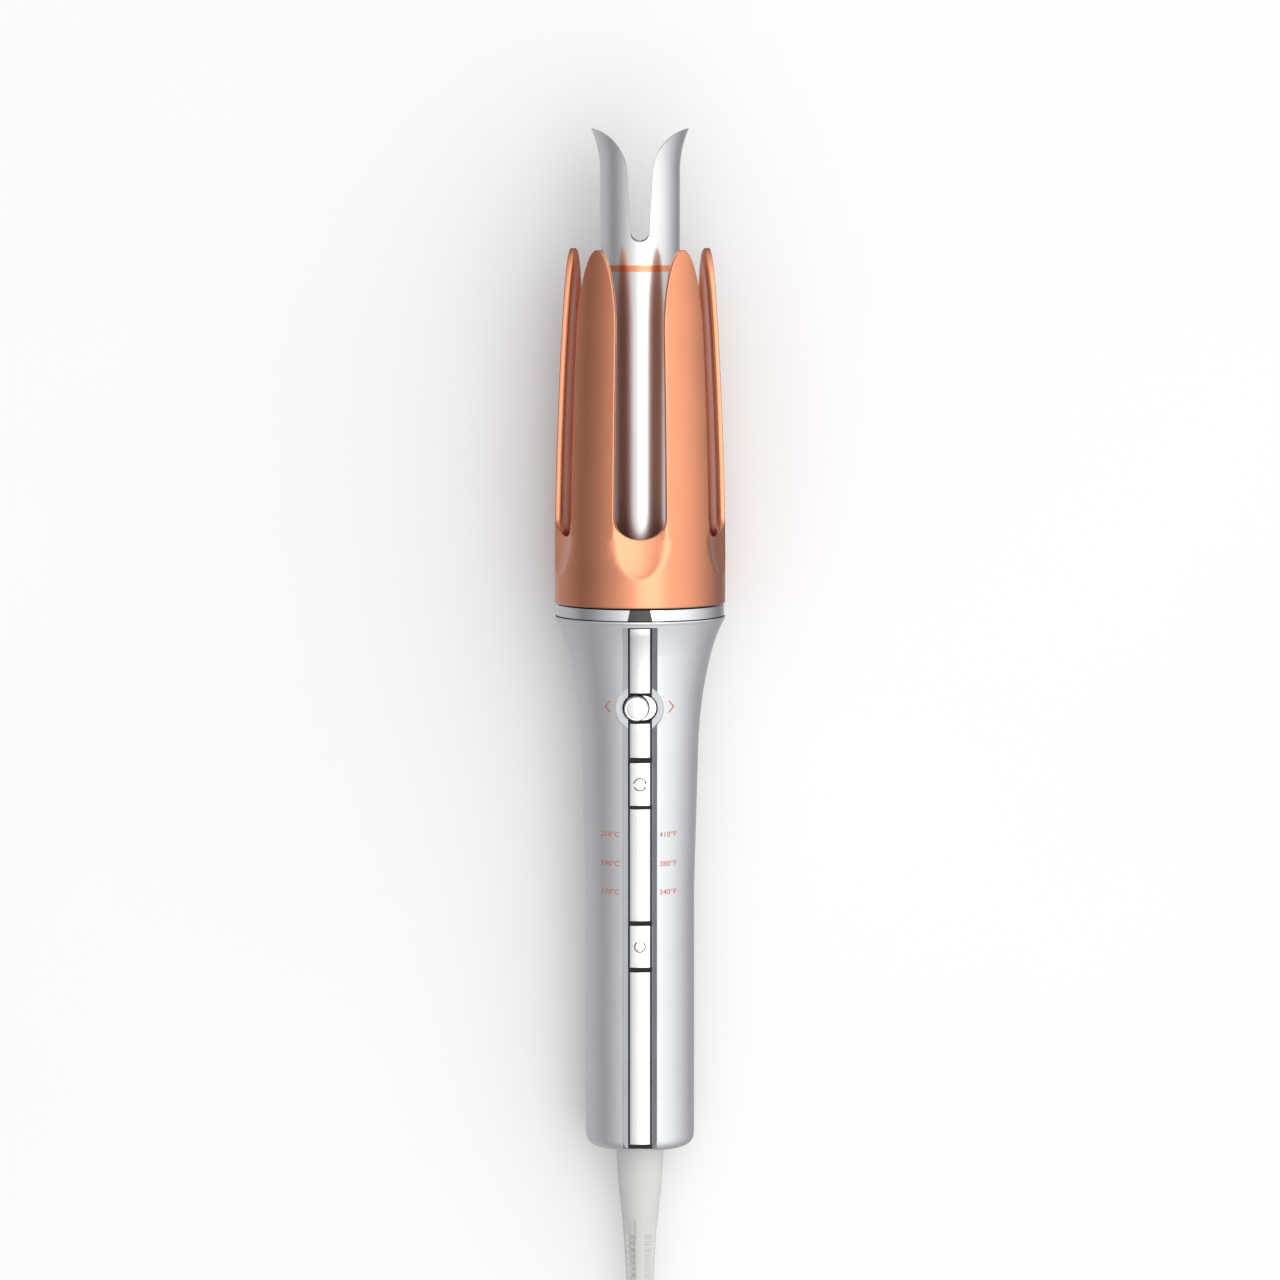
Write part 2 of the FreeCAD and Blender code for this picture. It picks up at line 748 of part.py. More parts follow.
def comb_cutters():
    """The five slots between the fingers and the five scoops under them."""
    base = value(SHIELD_BASE)
    tip = value(SHIELD_TIP)
    lean = math.radians(value("slot_half_angle"))
    half_pitch = math.pi / 5
    finger = value("finger_tip_length")
    round_height = value("slot_bottom_round")
    bottom = base + value("slot_bottom")
    near = 0.6 * value("shield_tip_radius")
    far = value("shield_radius") + 3

    def quarter(centre, across, up, start, end):
        """Quarter of an ellipse between two angles, in the local plane."""
        major = Vector(across, 0, 0) if across > up else Vector(0, up, 0)
        minor = Vector(0, up, 0) if across > up else Vector(-across, 0, 0)
        ellipse = Part.Ellipse(centre + major, centre + minor, centre)
        turn = 0 if across > up else -90
        return ellipse.toShape(math.radians(start + turn), math.radians(end + turn))

    def slot_wire(distance):
        """Outline of one slot where it crosses the plane at this distance in front of the axis."""
        side = distance * math.tan(lean)
        finger_middle = distance * math.tan(half_pitch)
        top = tip + 3
        low = Vector(0, bottom + round_height, 0)
        shoulder = tip - finger
        width = finger_middle - side
        edges = [
            quarter(low, side, round_height, 270, 360),
            Part.LineSegment(Vector(side, low.y, 0), Vector(side, shoulder, 0)).toShape(),
            quarter(Vector(finger_middle, shoulder, 0), width, finger, 90, 180),
            Part.LineSegment(Vector(finger_middle, tip, 0), Vector(finger_middle, top, 0)).toShape(),
            Part.LineSegment(Vector(finger_middle, top, 0), Vector(-finger_middle, top, 0)).toShape(),
            Part.LineSegment(Vector(-finger_middle, top, 0), Vector(-finger_middle, tip, 0)).toShape(),
            quarter(Vector(-finger_middle, shoulder, 0), width, finger, 0, 90),
            Part.LineSegment(Vector(-side, shoulder, 0), Vector(-side, low.y, 0)).toShape(),
            quarter(low, side, round_height, 180, 270),
        ]
        wire = Part.Wire(Part.__sortEdges__(edges))
        turn = FreeCAD.Matrix(1, 0, 0, 0, 0, 0, 1, -distance, 0, 1, 0, 0, 0, 0, 0, 1)
        return wire.transformGeometry(turn)

    slot = Part.makeLoft([slot_wire(near), slot_wire(far)], True, True)
    scoop = Part.makeSphere(1.0)
    stretch = FreeCAD.Matrix()
    stretch.scale(value("scoop_half_width"), value("scoop_half_depth"), value("scoop_half_length"))
    scoop = scoop.transformGeometry(stretch)
    scoop.translate(Vector(0, -value("scoop_offset"), base + value("scoop_height")))
    shapes = []
    for index in range(5):
        for tool in (slot, scoop):
            shapes.append(tool.rotated(Vector(), Vector(0, 0, 1), 72 * index))
    return shapes


def shield():
    """Comb shield: a cup whose wall rises in five fingers around the barrel."""
    inner = "shield_radius - shield_wall"
    floor_top = f"{SHIELD_BASE} + shield_floor"
    shoulder = f"{SHIELD_BASE} + shield_shoulder"
    body = revolved(
        "shield_form",
        [
            ("barrel_radius + barrel_gap", SHIELD_BASE),
            ("ring_bore + 0.5", SHIELD_BASE),
            ("ring_bore + 0.5", RING_TOP),
            ("ring_radius - 3", RING_TOP),
            ("ring_radius - 3", SHIELD_BASE),
            ("shield_radius - shield_edge_chamfer", SHIELD_BASE),
            ("shield_radius", f"{SHIELD_BASE} + shield_edge_chamfer"),
            ("shield_radius", shoulder, "shield_side_arc"),
            ("shield_tip_radius", SHIELD_TIP),
            ("shield_tip_radius - shield_wall", SHIELD_TIP, "-shield_side_arc"),
            (inner, shoulder),
            (inner, floor_top),
            ("barrel_radius + barrel_gap", floor_top),
        ],
    )
    doc.recompute()
    form = body.Shape.copy()
    for tool in comb_cutters():
        form = form.cut(tool)
    fingers = shaped("shield_fingers", form)
    posts = []
    holes = []
    for index in range(3):
        angle = 90 + 120 * index
        across = f"post_circle * cos({angle})"
        behind = f"post_circle * sin({angle})"
        post_top = f"{SHIELD_BASE} + 1"
        posts.append(
            cylinder(f"shield_post_{index}", "post_radius", "handle_length", post_top, across, behind)
        )
        holes.append(
            cylinder(f"post_hole_{index}", "screw_radius + 0.05", "handle_length - 1",
                     f"{SHIELD_BASE} + 2", across, behind)
        )
    subpart(cut("shield_solid", joined("shield_joined", [fingers] + posts), holes), "comb_shield")


def barrel_pieces():
    """Everything that turns with the barrel, apart from its gear."""
    subpart(
        revolved(
            "barrel_body",
            [
                ("barrel_radius - barrel_wall", BARREL_BASE),
                ("barrel_radius", BARREL_BASE),
                ("barrel_radius", BARREL_TOP),
                ("barrel_radius - barrel_wall", BARREL_TOP),
            ],
        ),
        "barrel_tube",
    )
    bore = "barrel_radius - barrel_wall"
    tail_end = f"{HUB_FLANGE} - hub_tail_length"
    step = f"{GEAR_BASE} + gear_width + 0.5"
    subpart(
        revolved(
            "hub_body",
            [
                ("hub_bore", tail_end),
                ("hub_tail_radius", tail_end),
                ("hub_tail_radius", step),
                ("hub_shaft_radius", step),
                ("hub_shaft_radius", HUB_FLANGE),
                ("barrel_radius - 0.1", HUB_FLANGE),
                ("barrel_radius - 0.1", BARREL_BASE),
                (bore, BARREL_BASE),
                (bore, f"{BARREL_BASE} + hub_plug_length"),
                ("hub_bore", f"{BARREL_BASE} + hub_plug_length"),
            ],
        ),
        "barrel_hub",
    )
    band_top = BAND_TOP
    subpart(
        revolved(
            "band_body",
            [
                ("band_bore", BARREL_TOP),
                ("barrel_radius", BARREL_TOP),
                ("barrel_radius", band_top),
                ("band_bore", band_top),
            ],
        ),
        "spacer_band",
    )
    subpart(
        revolved(
            "insulator_body",
            [
                (0, f"{BARREL_TOP} - 6.5"),
                (bore, f"{BARREL_TOP} - 6.5"),
                (bore, BARREL_TOP),
                ("band_bore", BARREL_TOP),
                ("band_bore", band_top),
                ("barrel_radius + 0.2 - fork_wall", band_top),
                ("barrel_radius + 0.2 - fork_wall", f"{band_top} + notch_height - 2.5"),
                (0, f"{band_top} + notch_height - 2.5"),
            ],
        ),
        "tip_insulator",
    )
    fork()
    heater(bore)
    slip_rings(step)


def fork():
    """Two-horned tip that catches the hair: a flared tube with a notch right through it."""
    base = BAND_TOP
    outer = "barrel_radius + 0.2"
    horn_top = f"{base} + fork_length"
    flare_start = f"{base} + fork_straight"
    form = revolved(
        "fork_form",
        [
            (f"{outer} - fork_wall", base),
            (outer, base),
            (outer, flare_start, "-fork_flare_arc"),
            ("fork_tip_radius", horn_top),
            ("fork_tip_radius - fork_tip_wall", horn_top, "fork_flare_arc"),
            (f"{outer} - fork_wall", flare_start),
        ],
    )
    notch = doc.addObject("PartDesign::Body", "notch_form")
    bottom = f"{base} + notch_height + notch_bottom_radius"
    side_top = f"{base} + notch_side_height"
    sketch = outline(
        notch,
        "notch_outline",
        "XZ_Plane",
        [
            ("-notch_bottom_radius", bottom, "notch_bottom_radius * 1.0001"),
            ("notch_bottom_radius", bottom),
            ("notch_top_half_width", side_top, "-notch_horn_arc"),
            ("fork_tip_radius", f"{horn_top} + horn_tip_rise"),
            ("fork_tip_radius", f"{horn_top} + 5"),
            ("-fork_tip_radius", f"{horn_top} + 5"),
            ("-fork_tip_radius", f"{horn_top} + horn_tip_rise", "-notch_horn_arc"),
            ("-notch_top_half_width", side_top),
        ],
    )
    pad = notch.newObject("PartDesign::Pad", "notch_pad")
    pad.Profile = sketch
    pad.Midplane = True
    set_size(pad, "Length", "4 * fork_tip_radius")
    subpart(cut("fork_solid", form, [notch]), "fork_tip")


def heater(bore):
    """Aluminium core with its ceramic plates, its leads and its thermal fuse."""
    start = f"{BARREL_BASE} + hub_plug_length + 4"
    end = f"{BARREL_TOP} - 8"
    core = cylinder("core_form", f"{bore} - 0.2", start, end)
    slot = box("core_slot", (-7, -2.2, f"{start} - 1"), (7, 2.2, f"{end} + 1"))
    fuse_way = cylinder("core_fuse_way", 2.3, f"{start} - 1", f"{end} + 1", 0, 7.5)
    subpart(cut("core_solid", core, [slot, fuse_way]), "heater_core")
    subpart(box("plates_solid", (-6.8, -2, f"{start} + 2"), (6.8, 2, f"{end} - 2")), "heater_plates")
    subpart(cylinder("fuse_solid", 2.0, f"{start} + 30", f"{start} + 44", 0, 7.5), "thermal_fuse")
    leads = [
        cylinder(f"lead_{index}", 0.7, f"{HUB_FLANGE} - 14", f"{start} + 2", across, 0)
        for index, across in enumerate((-1.0, 1.0))
    ]
    subpart(joined("leads_solid", leads), "heater_leads")


def slip_rings(step):
    """Two copper rings on the hub, their brushes and the block that holds them."""
    rings = []
    brushes = []
    first = f"{step} + 1"
    for index in range(2):
        low = f"{first} + slip_ring_pitch * {index}"
        rings.append(
            revolved(
                f"slip_ring_{index}",
                [
                    ("hub_shaft_radius", low),
                    ("slip_ring_radius", low),
                    ("slip_ring_radius", f"{low} + slip_ring_width"),
                    ("hub_shaft_radius", f"{low} + slip_ring_width"),
                ],
            )
        )
        brushes.append(
            box(
                f"brush_{index}",
                (-1.5, "slip_ring_radius + 0.1", f"{low} + 0.5"),
                (1.5, "slip_ring_radius + 5", f"{low} + slip_ring_width - 0.5"),
            )
        )
    subpart(joined("rings_solid", rings), "slip_rings")
    subpart(joined("brushes_solid", brushes), "contact_brushes")
    block = box(
        "brush_holder",
        (-4, "slip_ring_radius + 2", f"{first} - 0.5"),
        (4, "slip_ring_radius + 9", PLATE_BOTTOM),
    )
    ways = [
        box(
            f"brush_way_{index}",
            (-1.5, "slip_ring_radius", f"{first} + slip_ring_pitch * {index} + 0.5"),
            (1.5, "slip_ring_radius + 5", f"{first} + slip_ring_pitch * {index} + slip_ring_width - 0.5"),
        )
        for index in range(2)
    ]
    subpart(cut("brush_block_solid", block, ways), "brush_block")


def gear(teeth, bore, base, height, turn):
    """Spur gear with involute teeth, standing at a height."""
    builder = fcgear.FCWireBuilder()
    involute.CreateExternalGear(builder, value("gear_module"), int(teeth), value("pressure_angle"))
    wire = Part.Wire([curve.toShape() for curve in builder.wire])
    solid = Part.Face(wire).extrude(Vector(0, 0, height))
    if bore:
        solid = solid.cut(Part.makeCylinder(bore, height))
    solid.rotate(Vector(), Vector(0, 0, 1), turn)
    solid.translate(Vector(0, 0, base))
    return solid


def drive_pieces():
    """Gearmotor, pinion, barrel gear, the two plates and their bushes."""
    wide = value("gear_width")
    base = value(GEAR_BASE)
    distance = value(GEAR_DISTANCE)
    barrel_gear = gear(value("barrel_gear_teeth"), value("hub_tail_radius"), base, wide, 0)
    subpart(shaped("barrel_gear_solid", barrel_gear), "barrel_gear")
    pinion_teeth = value("pinion_teeth")
    pinion = gear(pinion_teeth, 0, base, wide, 180 / pinion_teeth)
    shaft_bottom = value("gear_plate_height") - 3
    shaft = Part.makeCylinder(
        value("motor_shaft_radius"), base + 1 - shaft_bottom, Vector(0, 0, shaft_bottom)
    )
    pinion = pinion.fuse(shaft).removeSplitter()
    pinion.translate(Vector(0, distance, 0))
    subpart(shaped("pinion_solid", pinion), "motor_pinion")

    plate_top = "gear_plate_height + gear_plate_thickness"
    motor_place = GEAR_DISTANCE
    motor_top = "gear_plate_height - gearbox_length"
    gearbox = cylinder("gearbox_form", "motor_radius", motor_top, "gear_plate_height", 0, motor_place)
    shaft_way = cylinder(
        "gearbox_bore",
        "motor_shaft_radius + running_gap",
        "gear_plate_height - 3.2",
        "gear_plate_height + 1",
        0,
        motor_place,
    )
    subpart(cut("gearbox_solid", gearbox, [shaft_way]), "gearbox")
    motor_bottom = f"{motor_top} - motor_length"
    can = cylinder("can_form", "motor_radius - 0.3", motor_bottom, motor_top, 0, motor_place)
    boss = cylinder("can_boss", 2.5, f"{motor_bottom} - 1.5", motor_bottom, 0, motor_place)
    subpart(joined("motor_solid", [can, boss]), "drive_motor")

    disc = cylinder("gear_plate_disc", "gear_plate_radius", "gear_plate_height", plate_top)
    front_off = box("gear_plate_front_off", (-40, -40, 100), (40, "-gear_plate_front", 200))
    bush_hole = cylinder("gear_plate_bore", "hub_tail_radius + bush_wall", 100, 200)
    pinion_way = cylinder("gear_plate_pinion_way", "motor_shaft_radius + 1", 100, 200, 0, motor_place)
    subpart(cut("gear_plate_solid", disc, [front_off, bush_hole, pinion_way]), "gear_plate")
    lower_bush = bush("lower_bush_body", "hub_tail_radius", "gear_plate_height", plate_top, "gear_lift")
    subpart(lower_bush, "lower_bush")

    top_disc = cylinder("bearing_disc", "bearing_plate_radius", PLATE_BOTTOM, "handle_length")
    top_bore = cylinder("bearing_bore", "hub_shaft_radius + bush_wall", 100, 300)
    screw_ways = []
    screws = []
    for index in range(3):
        angle = 90 + 120 * index
        across = f"post_circle * cos({angle})"
        behind = f"post_circle * sin({angle})"
        way_radius = "screw_radius + screw_clearance"
        screw_ways.append(cylinder(f"bearing_screw_way_{index}", way_radius, 100, 300, across, behind))
        shank = cylinder(
            f"shield_screw_{index}", "screw_radius", PLATE_BOTTOM, f"{SHIELD_BASE} + 1.5", across, behind
        )
        head = cylinder(
            f"shield_screw_head_{index}",
            "screw_head_radius",
            f"{PLATE_BOTTOM} - screw_head_height",
            PLATE_BOTTOM,
            across,
            behind,
        )
        screws.append(joined(f"shield_screw_solid_{index}", [shank, head]))
    subpart(cut("bearing_plate_solid", top_disc, [top_bore] + screw_ways), "bearing_plate")
    subpart(joined("shield_screws_solid", screws), "shield_screws")
    subpart(bush("upper_bush_body", "hub_shaft_radius", PLATE_BOTTOM, "handle_length", "0"), "upper_bush")


def bush(name, shaft, low, high, lip):
    """Plain bush with a running fit on its shaft, and a thrust lip where one is asked for."""
    bore = f"{shaft} + running_gap"
    outer = f"{shaft} + bush_wall"
    corners = [
        (bore, low),
        (outer, low),
        (outer, high),
    ]
    if value(lip) > 0:
        corners += [(f"{outer} + 0.8", high), (f"{outer} + 0.8", f"{high} + {lip}")]
        corners += [(bore, f"{high} + {lip}")]
    else:
        corners += [(bore, high)]
    return revolved(name, corners)


def electronics():
    """Boards, switches, lamps and the parts of the power stage."""
    front = "-(board_depth + board_thickness)"
    subpart(
        box(
            "control_board_solid",
            ("-board_half_width", front, "board_start"),
            ("board_half_width", "-board_depth", "board_end"),
        ),
        "control_board",
    )
    switches = []
    for name in ("power_button", "rotation_button"):
        middle = f"({name}_start + {name}_end) / 2"
        switches.append(
            box(f"{name}_switch", (-3, f"{front} - 1.5", f"{middle} - 3"), (3, front, f"{middle} + 3"))
        )
        switches.append(cross_cylinder(f"{name}_plunger", 1.7, f"{front} - 1.95", f"{front} - 1.4", middle))
    subpart(joined("switches_solid", switches), "button_switches")
    lamps = [
        box(f"lamp_{index}", (-1.2, f"{front} - 1.2", f"{height} - 1"), (1.2, front, f"{height} + 1"))
        for index, height in enumerate(led_heights())
    ]
    subpart(joined("lamps_solid", lamps), "indicator_lamps")
    slide_body = box(
        "slide_body",
        ("-5", f"{front} - 3.2", "slider_height - 3.5"),
        ("5", front, "slider_height + 3.5"),
    )
    slide_groove = box(
        "slide_groove",
        ("-slider_rest - 1.5", -40, "slider_height - 1.5"),
        ("slider_rest + 1.5", f"{front} - 1.4", "slider_height + 1.5"),
    )
    subpart(cut("slide_switch_solid", slide_body, [slide_groove]), "slide_switch")
    level = "power_board_level"
    subpart(
        box(
            "power_board_solid",
            ("-power_board_half_width", level, "power_board_start"),
            ("power_board_half_width", f"{level} + board_thickness", "power_board_end"),
        ),
        "power_board",
    )
    top = f"{level} + board_thickness"
    parts = [
        box("transformer", (-6, top, "power_board_start + 4"), (6, f"{top} + 10", "power_board_start + 18")),
        cylinder("capacitor", 4, "power_board_start + 22", "power_board_start + 38", -4.5, f"{top} + 4"),
        box("relay", (1, top, "power_board_start + 22"), (9, f"{top} + 6.5", "power_board_start + 36")),
    ]
    subpart(joined("power_parts_solid", parts), "power_parts")


def case_screws():
    """Two screws that clamp the channel to the rear shell, hidden under the lower strip."""
    screws = []
    front = "-(handle_radius - floor_depth)"
    for index, height in enumerate(("case_screw_low", "case_screw_high")):
        head_end = f"{front} + screw_head_height"
        head = cross_cylinder(
            f"case_screw_head_{index}", "screw_head_radius", f"{front} + 0.1", head_end, height
        )
        shank = cross_cylinder(
            f"case_screw_shank_{index}", "screw_radius", f"{front} + screw_head_height - 0.5", 7, height
        )
        screws.append(joined(f"case_screw_{index}", [head, shank]))
    subpart(joined("case_screws_solid", screws), "case_screws")


def swivel_pieces():
    """Strain relief that turns in the handle's end, with its collar and contacts."""
    subpart(
        revolved(
            "relief_body",
            [
                (0, "-relief_length"),
                ("relief_end_radius", "-relief_length"),
                ("relief_neck_radius", "-relief_length * 0.72"),
                ("relief_waist_radius", "-relief_length * 0.53"),
                ("relief_shoulder_radius", "-relief_length / 3"),
                ("relief_top_radius", "-relief_gap"),
                ("swivel_neck_radius", "-relief_gap"),
                ("swivel_neck_radius", "shell_wall + relief_gap"),
                (0, "shell_wall + relief_gap"),
            ],
        ),
        "strain_relief",
    )
    collar_base = "shell_wall + relief_gap"
    collar_top = f"{collar_base} + swivel_collar_height"
    subpart(cylinder("collar_solid", "swivel_collar_radius", collar_base, collar_top), "swivel_collar")
    contact_top = f"{collar_top} + 3"
    subpart(cylinder("contacts_solid", 4, collar_top, contact_top), "swivel_contacts")
    block = box("contact_block_form", (-7, -7, f"{contact_top} - 2"), (7, 7, f"{contact_top} + 2.5"))
    room = cylinder("contact_block_room", 4.2, 0, f"{contact_top} + 0.2")
    boss_room = cross_cylinder("contact_block_boss", "case_boss_radius + 0.3", -20, 20, "case_screw_low")
    subpart(cut("contact_block_solid", block, [room, boss_room]), "contact_block")


def resting_tilt():
    """Angle at which the rim and the handle's end both touch the ground, in degrees."""
    end_round = value("handle_end_round")
    along = value("handle_length - rim_land") - end_round
    across = value("rim_radius") - (value("handle_radius") - end_round)
    return math.degrees(math.atan2(across, along) - math.asin(end_round / math.hypot(across, along)))


def lie_down():
    """Placement that lays the upright iron on the ground, centred on the origin."""
    # design X goes to -Y, design Y to -Z and design Z to +X
    lay = FreeCAD.Rotation(Vector(0, -1, 0), Vector(0, 0, -1), Vector(1, 0, 0), "ZXY")
    tilt = FreeCAD.Rotation(Vector(0, 1, 0), -resting_tilt())
    turn = tilt.multiply(lay)
    low = Vector(1e9, 1e9, 1e9)
    high = Vector(-1e9, -1e9, -1e9)
    for thing in subparts:
        if thing in cord_parts or thing.Label in ("strain_relief",):
            continue
        shape = thing.Shape.copy()
        shape.Placement = FreeCAD.Placement(Vector(), turn).multiply(shape.Placement)
        bounds = shape.optimalBoundingBox(False)
        low = Vector(min(low.x, bounds.XMin), min(low.y, bounds.YMin), min(low.z, bounds.ZMin))
        high = Vector(max(high.x, bounds.XMax), max(high.y, bounds.YMax), max(high.z, bounds.ZMax))
    shift = Vector(-(low.x + high.x) / 2, -(low.y + high.y) / 2, -low.z)
    return FreeCAD.Placement(shift, turn)


def ground_point(lying, place):
    """Point on the ground plan: beyond the handle's end, sideways, and up."""
    beyond, aside, height = place
    return Vector(lying.Base.x - beyond, aside, height)


def tube_along(points, radius, name):
    """Round tube along straight runs joined by tangent arcs as large as the runs allow."""
    edges = []
    radii = []
    last = points[0]
    for index in range(1, len(points) - 1):
        corner = points[index]
        into = corner - points[index - 1]
        out = points[index + 1] - corner
        turn = into.getAngle(out)
        reach = 0.45 * min(into.Length, out.Length)
        radii.append(reach / math.tan(turn / 2))
        start = corner - into.normalize() * reach
        end = corner + out.normalize() * reach
        bulge = radii[-1] * (1 / math.cos(turn / 2) - 1)
        inward = ((start + end) * 0.5 - corner).normalize()
        edges.append(Part.LineSegment(last, start).toShape())
        edges.append(Part.Arc(start, corner + inward * bulge, end).toShape())
        last = end
    edges.append(Part.LineSegment(last, points[-1]).toShape())
    path = Part.Wire(edges)
    section = Part.Wire([Part.Circle(points[0], points[1] - points[0], radius).toShape()])
    tube = path.makePipeShell([section], True, False)
    wanted = math.pi * radius**2 * path.Length
    print(name, "length", round(path.Length, 1), "bend radii", [round(size, 1) for size in radii])
    if abs(tube.Volume - wanted) > 0.01 * wanted:
        raise RuntimeError(f"{name} has volume {tube.Volume}, not {wanted}")
    return tube


def hank_outline():
    """Flat outline of the tied hank: a round loop at each end, drawn together at the waist."""
    half = (HANK_FAR_LOOP - HANK_NEAR_LOOP) / 2
    drop = HANK_OUTER_RADIUS - HANK_WAIST
    bend = (half**2 + drop**2) / (4 * drop)
    quarter = Vector(half / 2, (HANK_OUTER_RADIUS + HANK_WAIST) / 2, 0)
    corners = []
    for across, up in ((1, 1), (-1, -1)):
        corners += [
            (Vector(across * half, up * HANK_OUTER_RADIUS, 0), bend),
            (Vector(across * quarter.x, up * quarter.y, 0), -bend),
            (Vector(0, up * HANK_WAIST, 0), -bend),
            (Vector(-across * quarter.x, up * quarter.y, 0), bend),
            (Vector(-across * half, up * HANK_OUTER_RADIUS, 0), HANK_OUTER_RADIUS),
        ]
    edges = []
    for index, (start, radius) in enumerate(corners):
        end = corners[(index + 1) % len(corners)][0]
        if radius == HANK_OUTER_RADIUS:
            side = Vector(math.copysign(HANK_OUTER_RADIUS, start.x) + start.x, 0, 0)
            edges.append(Part.Arc(start, side, end).toShape())
        else:
            edges.append(arc_between(start, end, radius).toShape())
    return Part.Wire(edges)


def cord_pieces(lying):
    """The lead from the relief to the hank, the hank and its tie, the tail and the plug."""
    radius = value("cord_radius")
    exit_point = lying.multVec(Vector(0, 0, -value("relief_length")))
    straight = lying.multVec(Vector(0, 0, -value("relief_length") - LEAD_STRAIGHT))
    lead = [exit_point, straight] + [ground_point(lying, place) for place in LEAD_ROUTE + [LEAD_END]]
    cord_part(shaped("lead_solid", tube_along(lead, radius, "cord_lead")), "cord_lead")
    tail = [ground_point(lying, place) for place in TAIL_ROUTE + [TAIL_END]]
    cord_part(shaped("tail_solid", tube_along(tail, radius, "cord_tail")), "cord_tail")

    middle = (HANK_NEAR_LOOP + HANK_FAR_LOOP) / 2
    centre = ground_point(lying, (middle, 0, 0))
    hank = Part.Face(hank_outline()).extrude(Vector(0, 0, HANK_HEIGHT))
    tie_reach = HANK_WAIST + 1.0
    under_tie = Part.makeBox(
        2 * TIE_HALF_WIDTH, 100, TIE_THICKNESS, Vector(-TIE_HALF_WIDTH, -50, 0)
    )
    hank = hank.cut(under_tie)
    hank.translate(centre)
    cord_part(shaped("hank_solid", hank), "cord_hank")
    tie_outer = Part.makeBox(
        2 * TIE_HALF_WIDTH,
        2 * (tie_reach + TIE_THICKNESS),
        HANK_HEIGHT + TIE_THICKNESS,
        Vector(-TIE_HALF_WIDTH, -tie_reach - TIE_THICKNESS, 0),
    )
    tie_inner = Part.makeBox(
        4 * TIE_HALF_WIDTH,
        2 * tie_reach,
        HANK_HEIGHT - TIE_THICKNESS,
        Vector(-2 * TIE_HALF_WIDTH, -tie_reach, TIE_THICKNESS),
    )
    tie = tie_outer.cut(tie_inner)
    tie.translate(centre)
    cord_part(shaped("tie_solid", tie), "hank_tie")
    plug(lying)


def plug(lying):
    """Flat two-pin plug, lying beside the far end of the hank with its pins pointing away."""
    beyond, aside, level = TAIL_END
    front = lying.Base.x - beyond
    half = value("plug_width") / 2
    length = value("plug_length")
    height = value("plug_height")
    waist = value("cord_radius") + 2.5
    shoulder = 14.0
    corners = [
        Vector(0, -waist, 0),
        Vector(0, waist, 0),
        Vector(-shoulder, half * 0.72, 0),
        Vector(-length + 4, half, 0),
        Vector(-length, half - 3, 0),
        Vector(-length, -half + 3, 0),
        Vector(-length + 4, -half, 0),
        Vector(-shoulder, -half * 0.72, 0),
    ]
    body = Part.Face(Part.makePolygon(corners + corners[:1])).extrude(Vector(0, 0, height))
    spine = [edge for edge in body.Edges if abs(edge.Vertexes[0].Z - edge.Vertexes[-1].Z) < 0.01]
    body = body.makeFillet(2.0, spine)
    body.translate(Vector(front, aside, level - height / 2))
    cord_part(shaped("plug_body_solid", body), "plug_body")
    pins = []
    for side in (-1, 1):
        foot = Vector(front - length, aside + side * value("plug_pin_spacing") / 2, level)
        pins.append(
            Part.makeCylinder(value("plug_pin_radius"), value("plug_pin_length"), foot, Vector(-1, 0, 0))
        )
    cord_part(shaped("plug_pins_solid", Part.makeCompound(pins)), "plug_pins")


def check_and_export():
    """Stop on any failed object or empty shape, then write one file for each sub-part."""
    for thing in doc.Objects:
        if any(word in ("Invalid", "Error") for word in thing.State):
            raise RuntimeError(f"{thing.Name} failed: {thing.State}")
    for thing in subparts:
        if thing.Shape.isNull() or not thing.Shape.isValid():
            raise RuntimeError(f"{thing.Label} has no valid shape")
    os.makedirs("parts", exist_ok=True)
    for thing in subparts:
        thing.Shape.exportStep(f"parts/{thing.Label}.step")
    print(len(subparts), "sub-parts written")


def build():
    """Model every sub-part upright, lay the iron down, add its cord and write the files."""
    fill_sheet()
    handle_pieces()
    strip_pieces()
    for name in ("power_button", "rotation_button"):
        button(name)
    slider()
    ring_pieces()
    shield()
    barrel_pieces()
    drive_pieces()
    electronics()
    case_screws()
    swivel_pieces()
    doc.recompute()
    lying = lie_down()
    for thing in subparts:
        thing.Placement = lying.multiply(thing.Placement)
    cord_pieces(lying)
    doc.recompute()
    check_and_export()


build()
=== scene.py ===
import json
import math

import bmesh
import bpy
from mathutils import Matrix, Vector, kdtree
from mathutils.bvhtree import BVHTree


